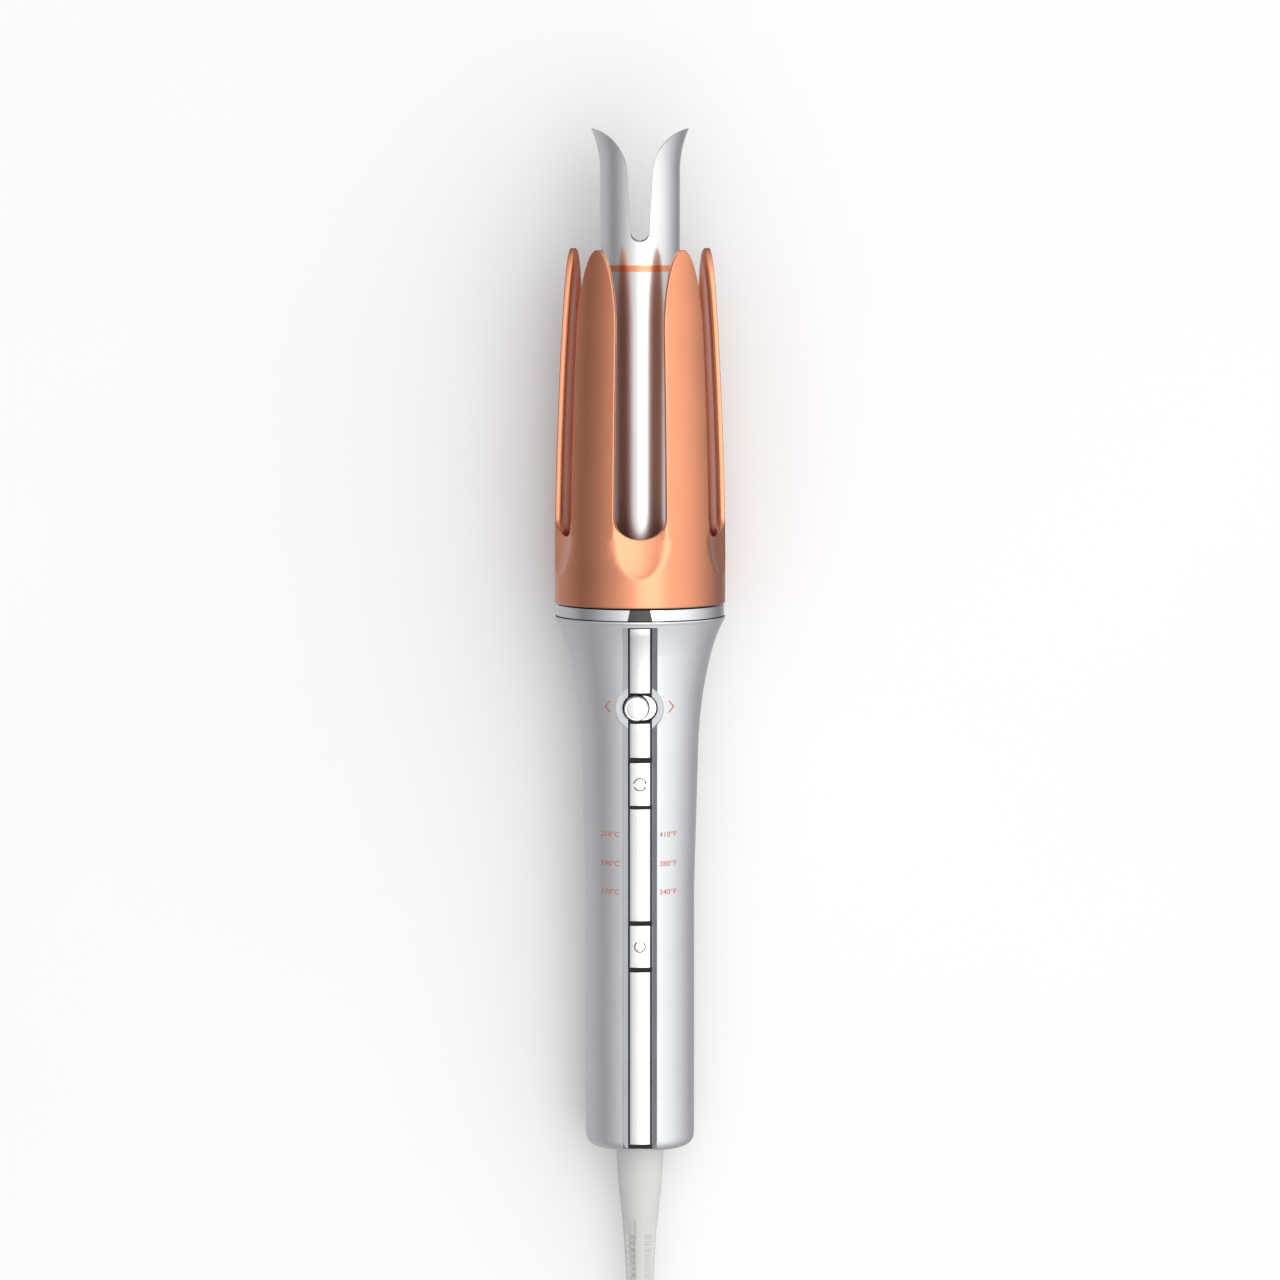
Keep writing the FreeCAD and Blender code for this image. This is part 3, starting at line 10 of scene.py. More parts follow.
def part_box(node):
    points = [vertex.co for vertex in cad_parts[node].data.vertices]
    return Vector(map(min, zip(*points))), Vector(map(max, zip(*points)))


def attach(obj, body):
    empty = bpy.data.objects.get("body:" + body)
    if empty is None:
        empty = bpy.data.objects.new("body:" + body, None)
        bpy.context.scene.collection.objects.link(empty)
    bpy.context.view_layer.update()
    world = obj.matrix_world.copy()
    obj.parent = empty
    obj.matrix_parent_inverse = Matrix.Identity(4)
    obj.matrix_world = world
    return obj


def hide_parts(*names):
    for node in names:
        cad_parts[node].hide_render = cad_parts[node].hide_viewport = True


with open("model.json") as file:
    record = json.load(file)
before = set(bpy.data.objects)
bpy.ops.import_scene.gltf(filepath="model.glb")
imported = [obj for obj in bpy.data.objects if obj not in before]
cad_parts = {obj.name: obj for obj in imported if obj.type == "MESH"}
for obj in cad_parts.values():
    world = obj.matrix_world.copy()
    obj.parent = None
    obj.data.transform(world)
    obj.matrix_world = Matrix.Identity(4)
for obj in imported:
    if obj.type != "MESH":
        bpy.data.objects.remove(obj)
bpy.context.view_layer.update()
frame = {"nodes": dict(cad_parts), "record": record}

# An automatic curling iron lying on its back. The design frame is the one the part is drawn in,
# in millimetres: z runs along the barrel's axis from the handle's end to the tip, the controls
# face -y. lay() takes a design point to the row frame, in metres.
BASE_X = -181.4846
BASE_Z = 19.1685
TILT = math.radians(3.39754)


def lay(x, y, z):
    """Design point in millimetres to the row frame in metres."""
    return Vector((
        (BASE_X + math.sin(TILT) * y + math.cos(TILT) * z) / 1000,
        -x / 1000,
        (BASE_Z - math.cos(TILT) * y + math.sin(TILT) * z) / 1000,
    ))


# ---------------------------------------------------------------- camera
AIM = lay(0, 0, 182)
CAMERA_LEAN = math.radians(1.6)
CAMERA_DISTANCE = 2.3

camera_data = bpy.data.cameras.new("camera")
camera_data.lens = 181
camera_data.sensor_width = 36
camera_data.clip_end = 20
camera = bpy.data.objects.new("camera", camera_data)
bpy.context.collection.objects.link(camera)
towards = Vector((math.sin(CAMERA_LEAN), 0, math.cos(CAMERA_LEAN)))
right = Vector((0, -1, 0))
up = towards.cross(right)
camera.matrix_world = Matrix((
    (right.x, up.x, towards.x, AIM.x + towards.x * CAMERA_DISTANCE),
    (right.y, up.y, towards.y, AIM.y + towards.y * CAMERA_DISTANCE),
    (right.z, up.z, towards.z, AIM.z + towards.z * CAMERA_DISTANCE),
    (0, 0, 0, 1),
))
bpy.context.scene.camera = camera


# ---------------------------------------------------------------- helpers
def add_object(name, data):
    made = bpy.data.objects.new(name, data)
    bpy.context.collection.objects.link(made)
    return made


def mesh_object(name, points, faces, smooth=True):
    """Mesh piece from points in metres and its faces, with its normals turned outward."""
    mesh = bpy.data.meshes.new(name)
    mesh.from_pydata([tuple(p) for p in points], [], faces)
    tidy = bmesh.new()
    tidy.from_mesh(mesh)
    bmesh.ops.remove_doubles(tidy, verts=tidy.verts, dist=1e-6)
    bmesh.ops.recalc_face_normals(tidy, faces=tidy.faces)
    tidy.to_mesh(mesh)
    tidy.free()
    for polygon in mesh.polygons:
        polygon.use_smooth = smooth
    return add_object(name, mesh)


def grid_faces(rows, columns, start=0):
    """Faces between rings of points, each ring closed on itself, from this first point on."""
    faces = []
    for row in range(rows - 1):
        for k in range(columns):
            a = start + row * columns + k
            b = start + row * columns + (k + 1) % columns
            faces.append((a, b, b + columns, a + columns))
    return faces


def fan_faces(centre, start, columns):
    """Faces that close a ring of points on a point at its centre."""
    return [(start + k, start + (k + 1) % columns, centre) for k in range(columns)]


def eased(value, low, high):
    """0 below low, 1 above high, and a smooth step between them."""
    share = min(1.0, max(0.0, (value - low) / (high - low)))
    return share * share * (3 - 2 * share)


def rounding(away, reach, height):
    """How far a surface is drawn back near an edge that is rounded over this reach and height."""
    if away >= reach:
        return 0.0
    return height * (1 - math.sqrt(max(0.0, 1 - (1 - away / reach) ** 2)))


def dress(piece, material):
    piece.data.materials.clear()
    piece.data.materials.append(material)
    return piece


# ---------------------------------------------------------------- cord
CORD_RADIUS = 0.00275
LANES = {1: (16.5, 2.75), 2: (22.0, 8.25), 3: (27.5, 13.75)}
NEAR_LOOP, FAR_LOOP = 115.0, 207.0
TOP_LAYER, LOW_LAYER = 8.25, 2.75
LANE_STEPS = 8
WAIST, WAIST_LIFT, WAIST_REACH = 161, 1.2, 12


def ground(beyond, aside, height):
    """Point on the ground plan: beyond the handle's end, sideways, and up, all in millimetres."""
    return Vector(((BASE_X - beyond) / 1000, aside / 1000, height / 1000))


def lane_run(lane, side, height, outward, first=0, last=LANE_STEPS):
    """One long side of a turn, drawn in at the waist where the tie holds it."""
    radius, waist = LANES[lane]
    points = []
    for step in range(first, last + 1):
        share = step / LANE_STEPS if outward else 1 - step / LANE_STEPS
        along = NEAR_LOOP + (FAR_LOOP - NEAR_LOOP) * share
        spread = (1 - math.cos(math.pi * (2 * share - 1))) / 2
        lift = WAIST_LIFT * math.exp(-((along - WAIST) / WAIST_REACH) ** 2)
        points.append(ground(along, side * (waist + (radius - waist) * spread), height + lift))
    return points


def half_turn(start_lane, end_lane, start_height, end_height, far):
    """Half-turn round an end of the hank, from one lane and layer to another."""
    points = []
    for step in range(1, LANE_STEPS):
        share = step / LANE_STEPS
        radius = LANES[start_lane][0] + (LANES[end_lane][0] - LANES[start_lane][0]) * share
        height = start_height + (end_height - start_height) * share
        angle = math.pi * share
        if far:
            points.append(ground(FAR_LOOP + radius * math.sin(angle), radius * math.cos(angle), height))
        else:
            points.append(ground(NEAR_LOOP - radius * math.sin(angle), -radius * math.cos(angle), height))
    return points


exit_point = lay(0, 0, -60)
route = [exit_point, lay(0, 0, -72)]
route += [ground(84, 1.5, 14.3), ground(97, 6.0, 13.9), ground(107, 13.0, 13.9), ground(117, 20.0, 13.9)]
route += [ground(127, 24.6, 12.6), ground(138, 22.4, 10.0)]
turns = [(3, TOP_LAYER, 2, TOP_LAYER), (2, TOP_LAYER, 1, TOP_LAYER), (1, TOP_LAYER, 1, LOW_LAYER)]
turns += [(1, LOW_LAYER, 2, LOW_LAYER), (2, LOW_LAYER, 3, LOW_LAYER)]
for number, (lane, layer, next_lane, next_layer) in enumerate(turns):
    route += lane_run(lane, 1, layer, True, 3 if number == 0 else 0)
    route += half_turn(lane, lane, layer, layer, True)
    route += lane_run(lane, -1, layer, False)
    route += half_turn(lane, next_lane, layer, next_layer, False)
route += lane_run(3, 1, LOW_LAYER, True, 0, 7)
route += [ground(215, 27.5, 2.75), ground(231, 25.5, 3.1), ground(246, 19.0, 4.6), ground(257, 14.2, 6.0)]
route += [ground(268, 12.85, 6.85)]

cord_curve = bpy.data.curves.new("cord", "CURVE")
cord_curve.dimensions = "3D"
line = cord_curve.splines.new("NURBS")
line.points.add(len(route) - 1)
for point, place in zip(line.points, route):
    point.co = (place.x, place.y, place.z, 1)
line.order_u = 3
line.use_endpoint_u = True
line.resolution_u = 4
cord_curve.bevel_depth = CORD_RADIUS
cord_curve.bevel_resolution = 6
cord_curve.use_fill_caps = True
cord = add_object("mains_cord", cord_curve)
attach(cord, "housing")
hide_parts("cord_lead", "cord_hank", "cord_tail")


# ---------------------------------------------------------------- materials
def coordinates(tree, stretch):
    """Object coordinates, stretched, so that grain keeps its real size on every piece."""
    place = tree.nodes.new("ShaderNodeTexCoord")
    mapping = tree.nodes.new("ShaderNodeMapping")
    mapping.inputs["Scale"].default_value = stretch
    tree.links.new(place.outputs["Object"], mapping.inputs["Vector"])
    return mapping.outputs["Vector"]


def noise(tree, vector, scale, detail=3.0):
    node = tree.nodes.new("ShaderNodeTexNoise")
    node.inputs["Scale"].default_value = scale
    node.inputs["Detail"].default_value = detail
    tree.links.new(vector, node.inputs["Vector"])
    return node.outputs["Fac"]


def ramp(tree, factor, stops):
    """Colour ramp from (position, colour) stops."""
    node = tree.nodes.new("ShaderNodeValToRGB")
    node.color_ramp.elements[0].position = stops[0][0]
    node.color_ramp.elements[0].color = (*stops[0][1], 1)
    node.color_ramp.elements[1].position = stops[-1][0]
    node.color_ramp.elements[1].color = (*stops[-1][1], 1)
    for position, colour in stops[1:-1]:
        node.color_ramp.elements.new(position).color = (*colour, 1)
    tree.links.new(factor, node.inputs["Fac"])
    return node.outputs["Color"]


def spread_of(tree, factor, low, high):
    """A factor from 0 to 1 made to run from low to high."""
    node = tree.nodes.new("ShaderNodeMapRange")
    node.inputs["To Min"].default_value = low
    node.inputs["To Max"].default_value = high
    tree.links.new(factor, node.inputs["Value"])
    return node.outputs["Result"]


def surface(name, colour, roughness, metallic=0.0, vary=0.06, rough_vary=0.06, patch=60, grain=4000,
            grain_depth=0.00001, grain_strength=0.15, stretch=(1, 1, 1), coat=0.0, coat_roughness=0.1,
            specular=0.5, sheen=0.0):
    """Surface with patches of slightly different colour and gloss, and a fine grain in its relief."""
    material = bpy.data.materials.new(name)
    material.use_nodes = True
    tree = material.node_tree
    shader = tree.nodes["Principled BSDF"]
    shader.inputs["Metallic"].default_value = metallic
    shader.inputs["Specular IOR Level"].default_value = specular
    shader.inputs["Coat Weight"].default_value = coat
    shader.inputs["Coat Roughness"].default_value = coat_roughness
    shader.inputs["Sheen Weight"].default_value = sheen
    vector = coordinates(tree, stretch)
    patches = noise(tree, vector, patch)
    dark = tuple(channel * (1 - vary) for channel in colour)
    light = tuple(min(1.0, channel * (1 + vary)) for channel in colour)
    tree.links.new(ramp(tree, patches, [(0.35, dark), (0.65, light)]), shader.inputs["Base Color"])
    fine = noise(tree, vector, grain, 2.0)
    low, high = roughness * (1 - rough_vary), roughness * (1 + rough_vary)
    tree.links.new(spread_of(tree, patches, low, high), shader.inputs["Roughness"])
    bump = tree.nodes.new("ShaderNodeBump")
    bump.inputs["Strength"].default_value = grain_strength
    bump.inputs["Distance"].default_value = grain_depth
    tree.links.new(fine, bump.inputs["Height"])
    tree.links.new(bump.outputs["Normal"], shader.inputs["Normal"])
    return material


def woven(name, colour, pitch):
    """Plain weave from two crossed bands."""
    material = surface(name, colour, 0.85, grain=1500, sheen=0.3)
    tree = material.node_tree
    shader = tree.nodes["Principled BSDF"]
    vector = coordinates(tree, (1, 1, 1))
    heights = []
    for direction in ("X", "Y"):
        wave = tree.nodes.new("ShaderNodeTexWave")
        wave.bands_direction = direction
        wave.inputs["Scale"].default_value = 1 / (pitch * 3.2)
        tree.links.new(vector, wave.inputs["Vector"])
        heights.append(wave.outputs["Fac"])
    mix = tree.nodes.new("ShaderNodeMath")
    mix.operation = "MULTIPLY"
    tree.links.new(heights[0], mix.inputs[0])
    tree.links.new(heights[1], mix.inputs[1])
    bump = tree.nodes.new("ShaderNodeBump")
    bump.inputs["Strength"].default_value = 0.6
    bump.inputs["Distance"].default_value = 0.0003
    tree.links.new(mix.outputs["Value"], bump.inputs["Height"])
    tree.links.new(bump.outputs["Normal"], shader.inputs["Normal"])
    return material


def shade_painted_channel(name, wall, groove, half_width):
    """Plated grey walls beside a near-black band of painted shade, of this half-width along the iron's
    middle, where the groove lies in shade.
    """
    material = surface(name, wall, 0.25, 0.8, vary=0.03, grain=6000)
    tree = material.node_tree
    shader = tree.nodes["Principled BSDF"]
    plated = shader.inputs["Base Color"].links[0].from_socket
    place = tree.nodes.new("ShaderNodeTexCoord")
    split = tree.nodes.new("ShaderNodeSeparateXYZ")
    tree.links.new(place.outputs["Object"], split.inputs["Vector"])
    size = tree.nodes.new("ShaderNodeMath")
    size.operation = "ABSOLUTE"
    tree.links.new(split.outputs["Y"], size.inputs[0])
    beside = tree.nodes.new("ShaderNodeMath")
    beside.operation = "GREATER_THAN"
    beside.inputs[1].default_value = half_width
    tree.links.new(size.outputs["Value"], beside.inputs[0])
    choose = tree.nodes.new("ShaderNodeMix")
    choose.data_type = "RGBA"
    choose.inputs["A"].default_value = (*groove, 1)
    tree.links.new(beside.outputs["Value"], choose.inputs["Factor"])
    tree.links.new(plated, choose.inputs["B"])
    tree.links.new(choose.outputs["Result"], shader.inputs["Base Color"])
    return material


ALONG = (0.02, 1, 1)
# The channel is coloured near-black out to this half-width from its middle: painted shade for the recess of
# the groove.
PAINTED_SHADE_HALF_WIDTH = 0.00425
FINISHES = {
    "satin_silver": surface("satin_silver", (0.74, 0.755, 0.77), 0.34, 0.8, vary=0.015, grain=9000,
                            grain_strength=0.2, coat=0.15, coat_roughness=0.2),
    "bright_chrome": surface("bright_chrome", (0.80, 0.81, 0.82), 0.14, 1.0, vary=0.01, rough_vary=0.15,
                             grain=6000, grain_strength=0.0),
    # channel_grey: plated grey walls, with the groove's colour (near-black) as painted shade down the
    # middle.
    "channel_grey": shade_painted_channel("channel_grey", (0.42, 0.43, 0.45), (0.012, 0.012, 0.014),
                             PAINTED_SHADE_HALF_WIDTH),
    "dark_mark": surface("dark_mark", (0.045, 0.045, 0.05), 0.3, 0.0, vary=0.1, grain=6000),
    "rose_gold": surface("rose_gold", (0.82, 0.325, 0.18), 0.30, 1.0, vary=0.025, grain=9000,
                         grain_strength=0.2, coat=0.25, coat_roughness=0.18),
    "barrel_metal": surface("barrel_metal", (0.66, 0.66, 0.67), 0.30, 1.0, vary=0.03, grain=5000,
                            stretch=ALONG, grain_strength=0.25),
    "fork_silver": surface("fork_silver", (0.78, 0.79, 0.80), 0.24, 0.9, vary=0.02, grain=9000,
                           coat=0.2, coat_roughness=0.12),
    "heat_plastic": surface("heat_plastic", (0.02, 0.02, 0.022), 0.5, grain=2500, grain_strength=0.3),
    "copper": surface("copper", (0.72, 0.36, 0.2), 0.25, 1.0),
    "ceramic_white": surface("ceramic_white", (0.8, 0.79, 0.76), 0.35),
    "heater_alloy": surface("heater_alloy", (0.6, 0.6, 0.61), 0.35, 1.0, stretch=ALONG),
    "gear_white": surface("gear_white", (0.72, 0.72, 0.68), 0.4),
    "steel": surface("steel", (0.5, 0.5, 0.52), 0.3, 1.0, stretch=ALONG),
    "sintered_bronze": surface("sintered_bronze", (0.45, 0.28, 0.12), 0.45, 1.0, grain=3000,
                               grain_strength=0.4),
    "board_green": surface("board_green", (0.01, 0.09, 0.03), 0.35),
    "component_black": surface("component_black", (0.015, 0.015, 0.017), 0.5),
    "lamp_clear": surface("lamp_clear", (0.8, 0.7, 0.6), 0.15),
    "carbon": surface("carbon", (0.02, 0.02, 0.02), 0.6),
    "cord_grey": surface("cord_grey", (0.62, 0.62, 0.60), 0.5, vary=0.03, grain=2500,
                         grain_strength=0.25, specular=0.35),
    "tie_black": woven("tie_black", (0.03, 0.03, 0.033), 0.0009),
    "plug_grey": surface("plug_grey", (0.62, 0.62, 0.60), 0.42, vary=0.03, grain=2500, grain_strength=0.3),
    "pin_metal": surface("pin_metal", (0.62, 0.60, 0.54), 0.25, 1.0),
}
PRINT_RED = surface("print_red", (0.55, 0.11, 0.045), 0.45, vary=0.08, grain=9000)
ICON_GREY = surface("icon_grey", (0.06, 0.065, 0.07), 0.35, vary=0.08, grain=9000)
SLEEVE_DARK = surface("sleeve_dark", (0.05, 0.05, 0.052), 0.4, vary=0.06, grain=3000)
# Near-black material for the seams: painted shade standing for the shadowed gaps between parts.
GAP_SHADE_BLACK = surface("painted_gap_shade", (0.012, 0.012, 0.013), 0.6, vary=0.06, grain=3000, specular=0.2)

slot_of_node = {row["node"]: row["material_slot"] for row in frame["record"]["subparts"]}
for node_name, node in frame["nodes"].items():
    dress(node, FINISHES[slot_of_node[node_name]])


# ---------------------------------------------------------------- comb shield
SHIELD_BASE, SHIELD_TIP = 195.5, 321.7
SHIELD_SHOULDER, SHIELD_RADIUS, SHIELD_TIP_RADIUS = 212.0, 30.5, 26.0
SHIELD_BULGE = 0.886
SHIELD_WALL, SHIELD_FLOOR_TOP = 3.1, 198.5
SLOT_HALF, SLOT_BOTTOM, SLOT_ROUND = math.radians(18.1), 219.7, 7.5
HALF_PITCH = math.radians(36)
FINGER_HALF = HALF_PITCH - SLOT_HALF
FINGER_TIP = 30.0
SCOOP_OFFSET, SCOOP_HEIGHT = 33.0, 222.0
SCOOP_ACROSS, SCOOP_DEEP, SCOOP_ALONG = 15.4, 5.15, 18.4
SHIELD_BORE = 14.6
BASE_ROUND = 0.6
EDGE_ROUND = 0.4
INNER_ROUND, INNER_ROUND_REACH = 1.7, 3.6
FINGERS = 5


def shield_radius(z):
    """Outer radius of the shield before its scoops are taken out."""
    if z < SHIELD_BASE + BASE_ROUND:
        rise = math.sqrt(max(0.0, BASE_ROUND ** 2 - (SHIELD_BASE + BASE_ROUND - z) ** 2))
        return SHIELD_RADIUS - BASE_ROUND + rise
    if z < SHIELD_SHOULDER:
        return SHIELD_RADIUS
    share = (z - SHIELD_SHOULDER) / (SHIELD_TIP - SHIELD_SHOULDER)
    straight = SHIELD_RADIUS + (SHIELD_TIP_RADIUS - SHIELD_RADIUS) * share
    return straight + 4 * SHIELD_BULGE * share * (1 - share)


def scoop_radius(off_slot, z):
    """Distance from the axis at which a scoop starts, or None beside it."""
    room = 1 - ((z - SCOOP_HEIGHT) / SCOOP_ALONG) ** 2
    across, deep = math.sin(off_slot) / SCOOP_ACROSS, math.cos(off_slot) / SCOOP_DEEP
    a = across ** 2 + deep ** 2
    b = -2 * SCOOP_OFFSET * deep / SCOOP_DEEP
    c = (SCOOP_OFFSET / SCOOP_DEEP) ** 2 - room
    inside = b * b - 4 * a * c
    if room <= 0 or inside <= 0:
        return None
    return (-b - math.sqrt(inside)) / (2 * a)


def shield_rows():
    """(height, half-angle of the finger, True where the slot is open) from the base to the finger's tip."""
    rows = [(SHIELD_BASE + up, HALF_PITCH, False) for up in (0, 0.05, 0.15, 0.3, 0.6, 1.2, 2.5, 4.5, 6.5)]
    rows += [(203.5 + 0.45 * step, HALF_PITCH, False) for step in range(34)]
    rows += [(SLOT_BOTTOM - back, HALF_PITCH, False) for back in (0.7, 0.5, 0.32, 0.18, 0.08)]
    for step in range(21):
        turn = math.radians(4.5 * step)
        height = SLOT_BOTTOM + SLOT_ROUND * (1 - math.cos(turn))
        rows.append((height, HALF_PITCH - SLOT_HALF * math.sin(turn), True))
    low = SLOT_BOTTOM + SLOT_ROUND
    rows += [(low + 0.8 * step, FINGER_HALF, True) for step in range(1, 19)]
    start = low + 0.8 * 18
    end = SHIELD_TIP - FINGER_TIP
    rows += [(start + (end - start) * step / 14, FINGER_HALF, True) for step in range(1, 15)]
    for step in range(1, 31):
        turn = math.radians(3 * step)
        rows.append((end + FINGER_TIP * math.sin(turn), FINGER_HALF * math.cos(turn), True))
    return rows


def shield_columns():
    """Places across a finger, -1 to 1, closer together near its edges."""
    half = [0.0, 0.12, 0.24, 0.36, 0.48, 0.58, 0.66, 0.72, 0.78, 0.83, 0.87, 0.90, 0.925, 0.945, 0.96, 0.972,
            0.982, 0.989, 0.995, 1.0]
    return [-place for place in reversed(half[1:])] + half


def edge_tree(rows):
    """The finger's edge, unrolled, as closely spaced points to measure distances from."""
    edge = [(half * shield_radius(z), z) for z, half, is_open in rows if is_open]
    dense = []
    for (a0, z0), (a1, z1) in zip(edge, edge[1:]):
        steps = max(1, int(math.hypot(a1 - a0, z1 - z0) / 0.15))
        dense += [(a0 + (a1 - a0) * k / steps, z0 + (z1 - z0) * k / steps) for k in range(steps)]
    dense.append(edge[-1])
    tree = kdtree.KDTree(len(dense))
    for index, (a, z) in enumerate(dense):
        tree.insert((a, z, 0), index)
    tree.balance()
    return tree


def shield_skin(angle, z, away, inner):
    """Radius of the shield's outer or inner side, with its scoops and rounded edges."""
    full = shield_radius(z)
    outer = full
    scoop = scoop_radius(HALF_PITCH - abs(angle), z)
    if scoop is not None:
        soft = max(0.0, 0.2 - abs(scoop - full)) / 0.2
        outer = min(scoop, full) - soft * soft * 0.05
    inside = full - SHIELD_WALL
    wall = outer - inside
    if inner:
        return inside + rounding(away, INNER_ROUND_REACH, min(INNER_ROUND, 0.55 * wall))
    return outer - rounding(away, min(EDGE_ROUND, 0.4 * wall), min(EDGE_ROUND, 0.4 * wall))


def around(radius, turn, z):
    """Point at this radius and angle about the barrel's axis."""
    return lay(radius * math.sin(turn), -radius * math.cos(turn), z)


def strip_faces(low, high):
    """Faces between two rows of points that aren't closed into rings."""
    return [(low[k], low[k + 1], high[k + 1], high[k]) for k in range(len(low) - 1)]


def shield_side(rows, columns, tree, middle, inner, points, faces):
    """One side of one finger and of the wall below it; returns its rows of point numbers."""
    grid = []
    for z, half, is_open in rows:
        line = []
        for place in columns:
            angle = half * place
            away = tree.find((abs(angle) * shield_radius(z), z, 0))[2]
            radius = shield_skin(angle, z, away, inner)
            line.append(len(points))
            points.append(around(radius, middle + angle, max(z, SHIELD_FLOOR_TOP) if inner else z))
        grid.append(line)
    for low, high in zip(grid, grid[1:]):
        faces += strip_faces(low, high)
    return grid


def shield_floor(columns, middle, points, faces):
    """The floor under one finger, down its bore and out under the base."""
    corners = [(SHIELD_RADIUS - SHIELD_WALL, SHIELD_FLOOR_TOP), (SHIELD_BORE, SHIELD_FLOOR_TOP)]
    corners += [(SHIELD_BORE, SHIELD_BASE), (SHIELD_RADIUS - BASE_ROUND, SHIELD_BASE)]
    rims = []
    for radius, height in corners:
        rims.append(list(range(len(points), len(points) + len(columns))))
        points += [around(radius, middle + HALF_PITCH * place, height) for place in columns]
    for low, high in zip(rims, rims[1:]):
        faces += strip_faces(low, high)


def comb_shield():
    """Five fingers on a cup, each a rounded sheet with a scoop beside its foot."""
    rows, columns = shield_rows(), shield_columns()
    tree = edge_tree(rows)
    points, faces = [], []
    for finger in range(FINGERS):
        middle = HALF_PITCH + finger * 2 * HALF_PITCH
        outer = shield_side(rows, columns, tree, middle, False, points, faces)
        inner = shield_side(rows, columns, tree, middle, True, points, faces)
        for number in range(len(rows) - 1):
            if rows[number][2]:
                for k in (0, len(columns) - 1):
                    faces.append((outer[number][k], outer[number + 1][k],
                                  inner[number + 1][k], inner[number][k]))
        shield_floor(columns, middle, points, faces)
    piece = mesh_object("comb_cage", points, faces)
    piece.data.set_sharp_from_angle(angle=math.radians(50))
    return piece


cage = dress(comb_shield(), FINISHES["rose_gold"])
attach(cage, "housing")
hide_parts("comb_shield")


# ---------------------------------------------------------------- strain relief
RELIEF_PROFILE = [(0.4, 8.3), (0, 8.4), (-4, 8.35), (-8, 8.2), (-12, 7.95), (-16, 7.6), (-20, 7.15),
                  (-24, 6.7), (-28, 6.25), (-32, 5.9), (-36, 5.65), (-40, 5.38), (-44, 5.15), (-48, 4.93),
                  (-52, 4.7), (-56, 4.5), (-59.2, 4.34), (-59.8, 4.2), (-60, 3.9)]
SPINE_HALF = 1.7
RIB_PITCH = 2.34
RIB_START, RIB_DEPTH = -32.0, 0.8
STEP_DEPTH = 0.5


def relief_radius(z):
    for (z0, r0), (z1, r1) in zip(RELIEF_PROFILE, RELIEF_PROFILE[1:]):
        if z1 <= z <= z0:
            return r0 + (r1 - r0) * (z - z0) / (z1 - z0)
    return RELIEF_PROFILE[-1][1]


def strain_relief():
    """Tapered sleeve: a smooth spine front and back, with ribs on both sides of it."""
    heights = [0.4, 0] + [-2.0 * k for k in range(1, 12)] + [-23 - 0.3 * k for k in range(122)]
    heights += [-59.8, -60]
    columns = 120
    points = []
    for z in heights:
        full = relief_radius(z)
        for k in range(columns):
            turn = 2 * math.pi * k / columns
            across = abs(full * math.sin(turn))
            beside = eased(across, SPINE_HALF, SPINE_HALF + 0.35)
            rail = 1 - eased(across / full, 0.80, 0.93)
            step = eased(-z, 25.0, 28.5) * (1 - eased(-z, 57.5, 58.6))
            ribs = eased(-z, 31.4, 32.0) * (1 - eased(-z, 57.0, 57.6))
            wave = 0.5 - 0.5 * math.cos(2 * math.pi * (z - RIB_START) / RIB_PITCH)
            cut_in = STEP_DEPTH * step + RIB_DEPTH * ribs * eased(wave, 0.25, 0.75)
            points.append(around(full - beside * rail * cut_in, turn, z))
    faces = grid_faces(len(heights), columns)
    for start, z in ((0, heights[0]), ((len(heights) - 1) * columns, heights[-1])):
        faces += fan_faces(len(points), start, columns)
        points.append(lay(0, 0, z))
    piece = mesh_object("relief_sleeve", points, faces)
    piece.data.set_sharp_from_angle(angle=math.radians(55))
    return piece


relief = dress(strain_relief(), FINISHES["cord_grey"])
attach(relief, "swivel")
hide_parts("strain_relief")


# ---------------------------------------------------------------- polished strips, buttons and slider
AHEAD = (lay(0, 1, 0) - lay(0, 0, 0)).normalized()
FAR_OUT = 60
FINE_STEPS = [0.04, 0.1, 0.18, 0.3]


def skin_of(*names):
    """What a ray from the front meets first on these nodes or pieces, as a function of place."""
    trees = []
    for name in names:
        mesh = (frame["nodes"].get(name) or bpy.data.objects[name]).data
        corners = [vertex.co for vertex in mesh.vertices]
        trees.append(BVHTree.FromPolygons(corners, [tuple(face.vertices) for face in mesh.polygons]))

    def front(x, z):
        met = [tree.ray_cast(lay(x, -FAR_OUT, z), AHEAD)[3] for tree in trees]
        met = [distance for distance in met if distance is not None]
        return min(met) * 1000 - FAR_OUT if met else None

    return front


def steps_between(start, end, count):
    """Places from start to end, closer together at both ends."""
    inner = [start + (end - start) * k / count for k in range(2, count - 1)]
    near = [start + step for step in [0] + FINE_STEPS]
    far = [end - step for step in reversed([0] + FINE_STEPS)]
    return near + inner + far


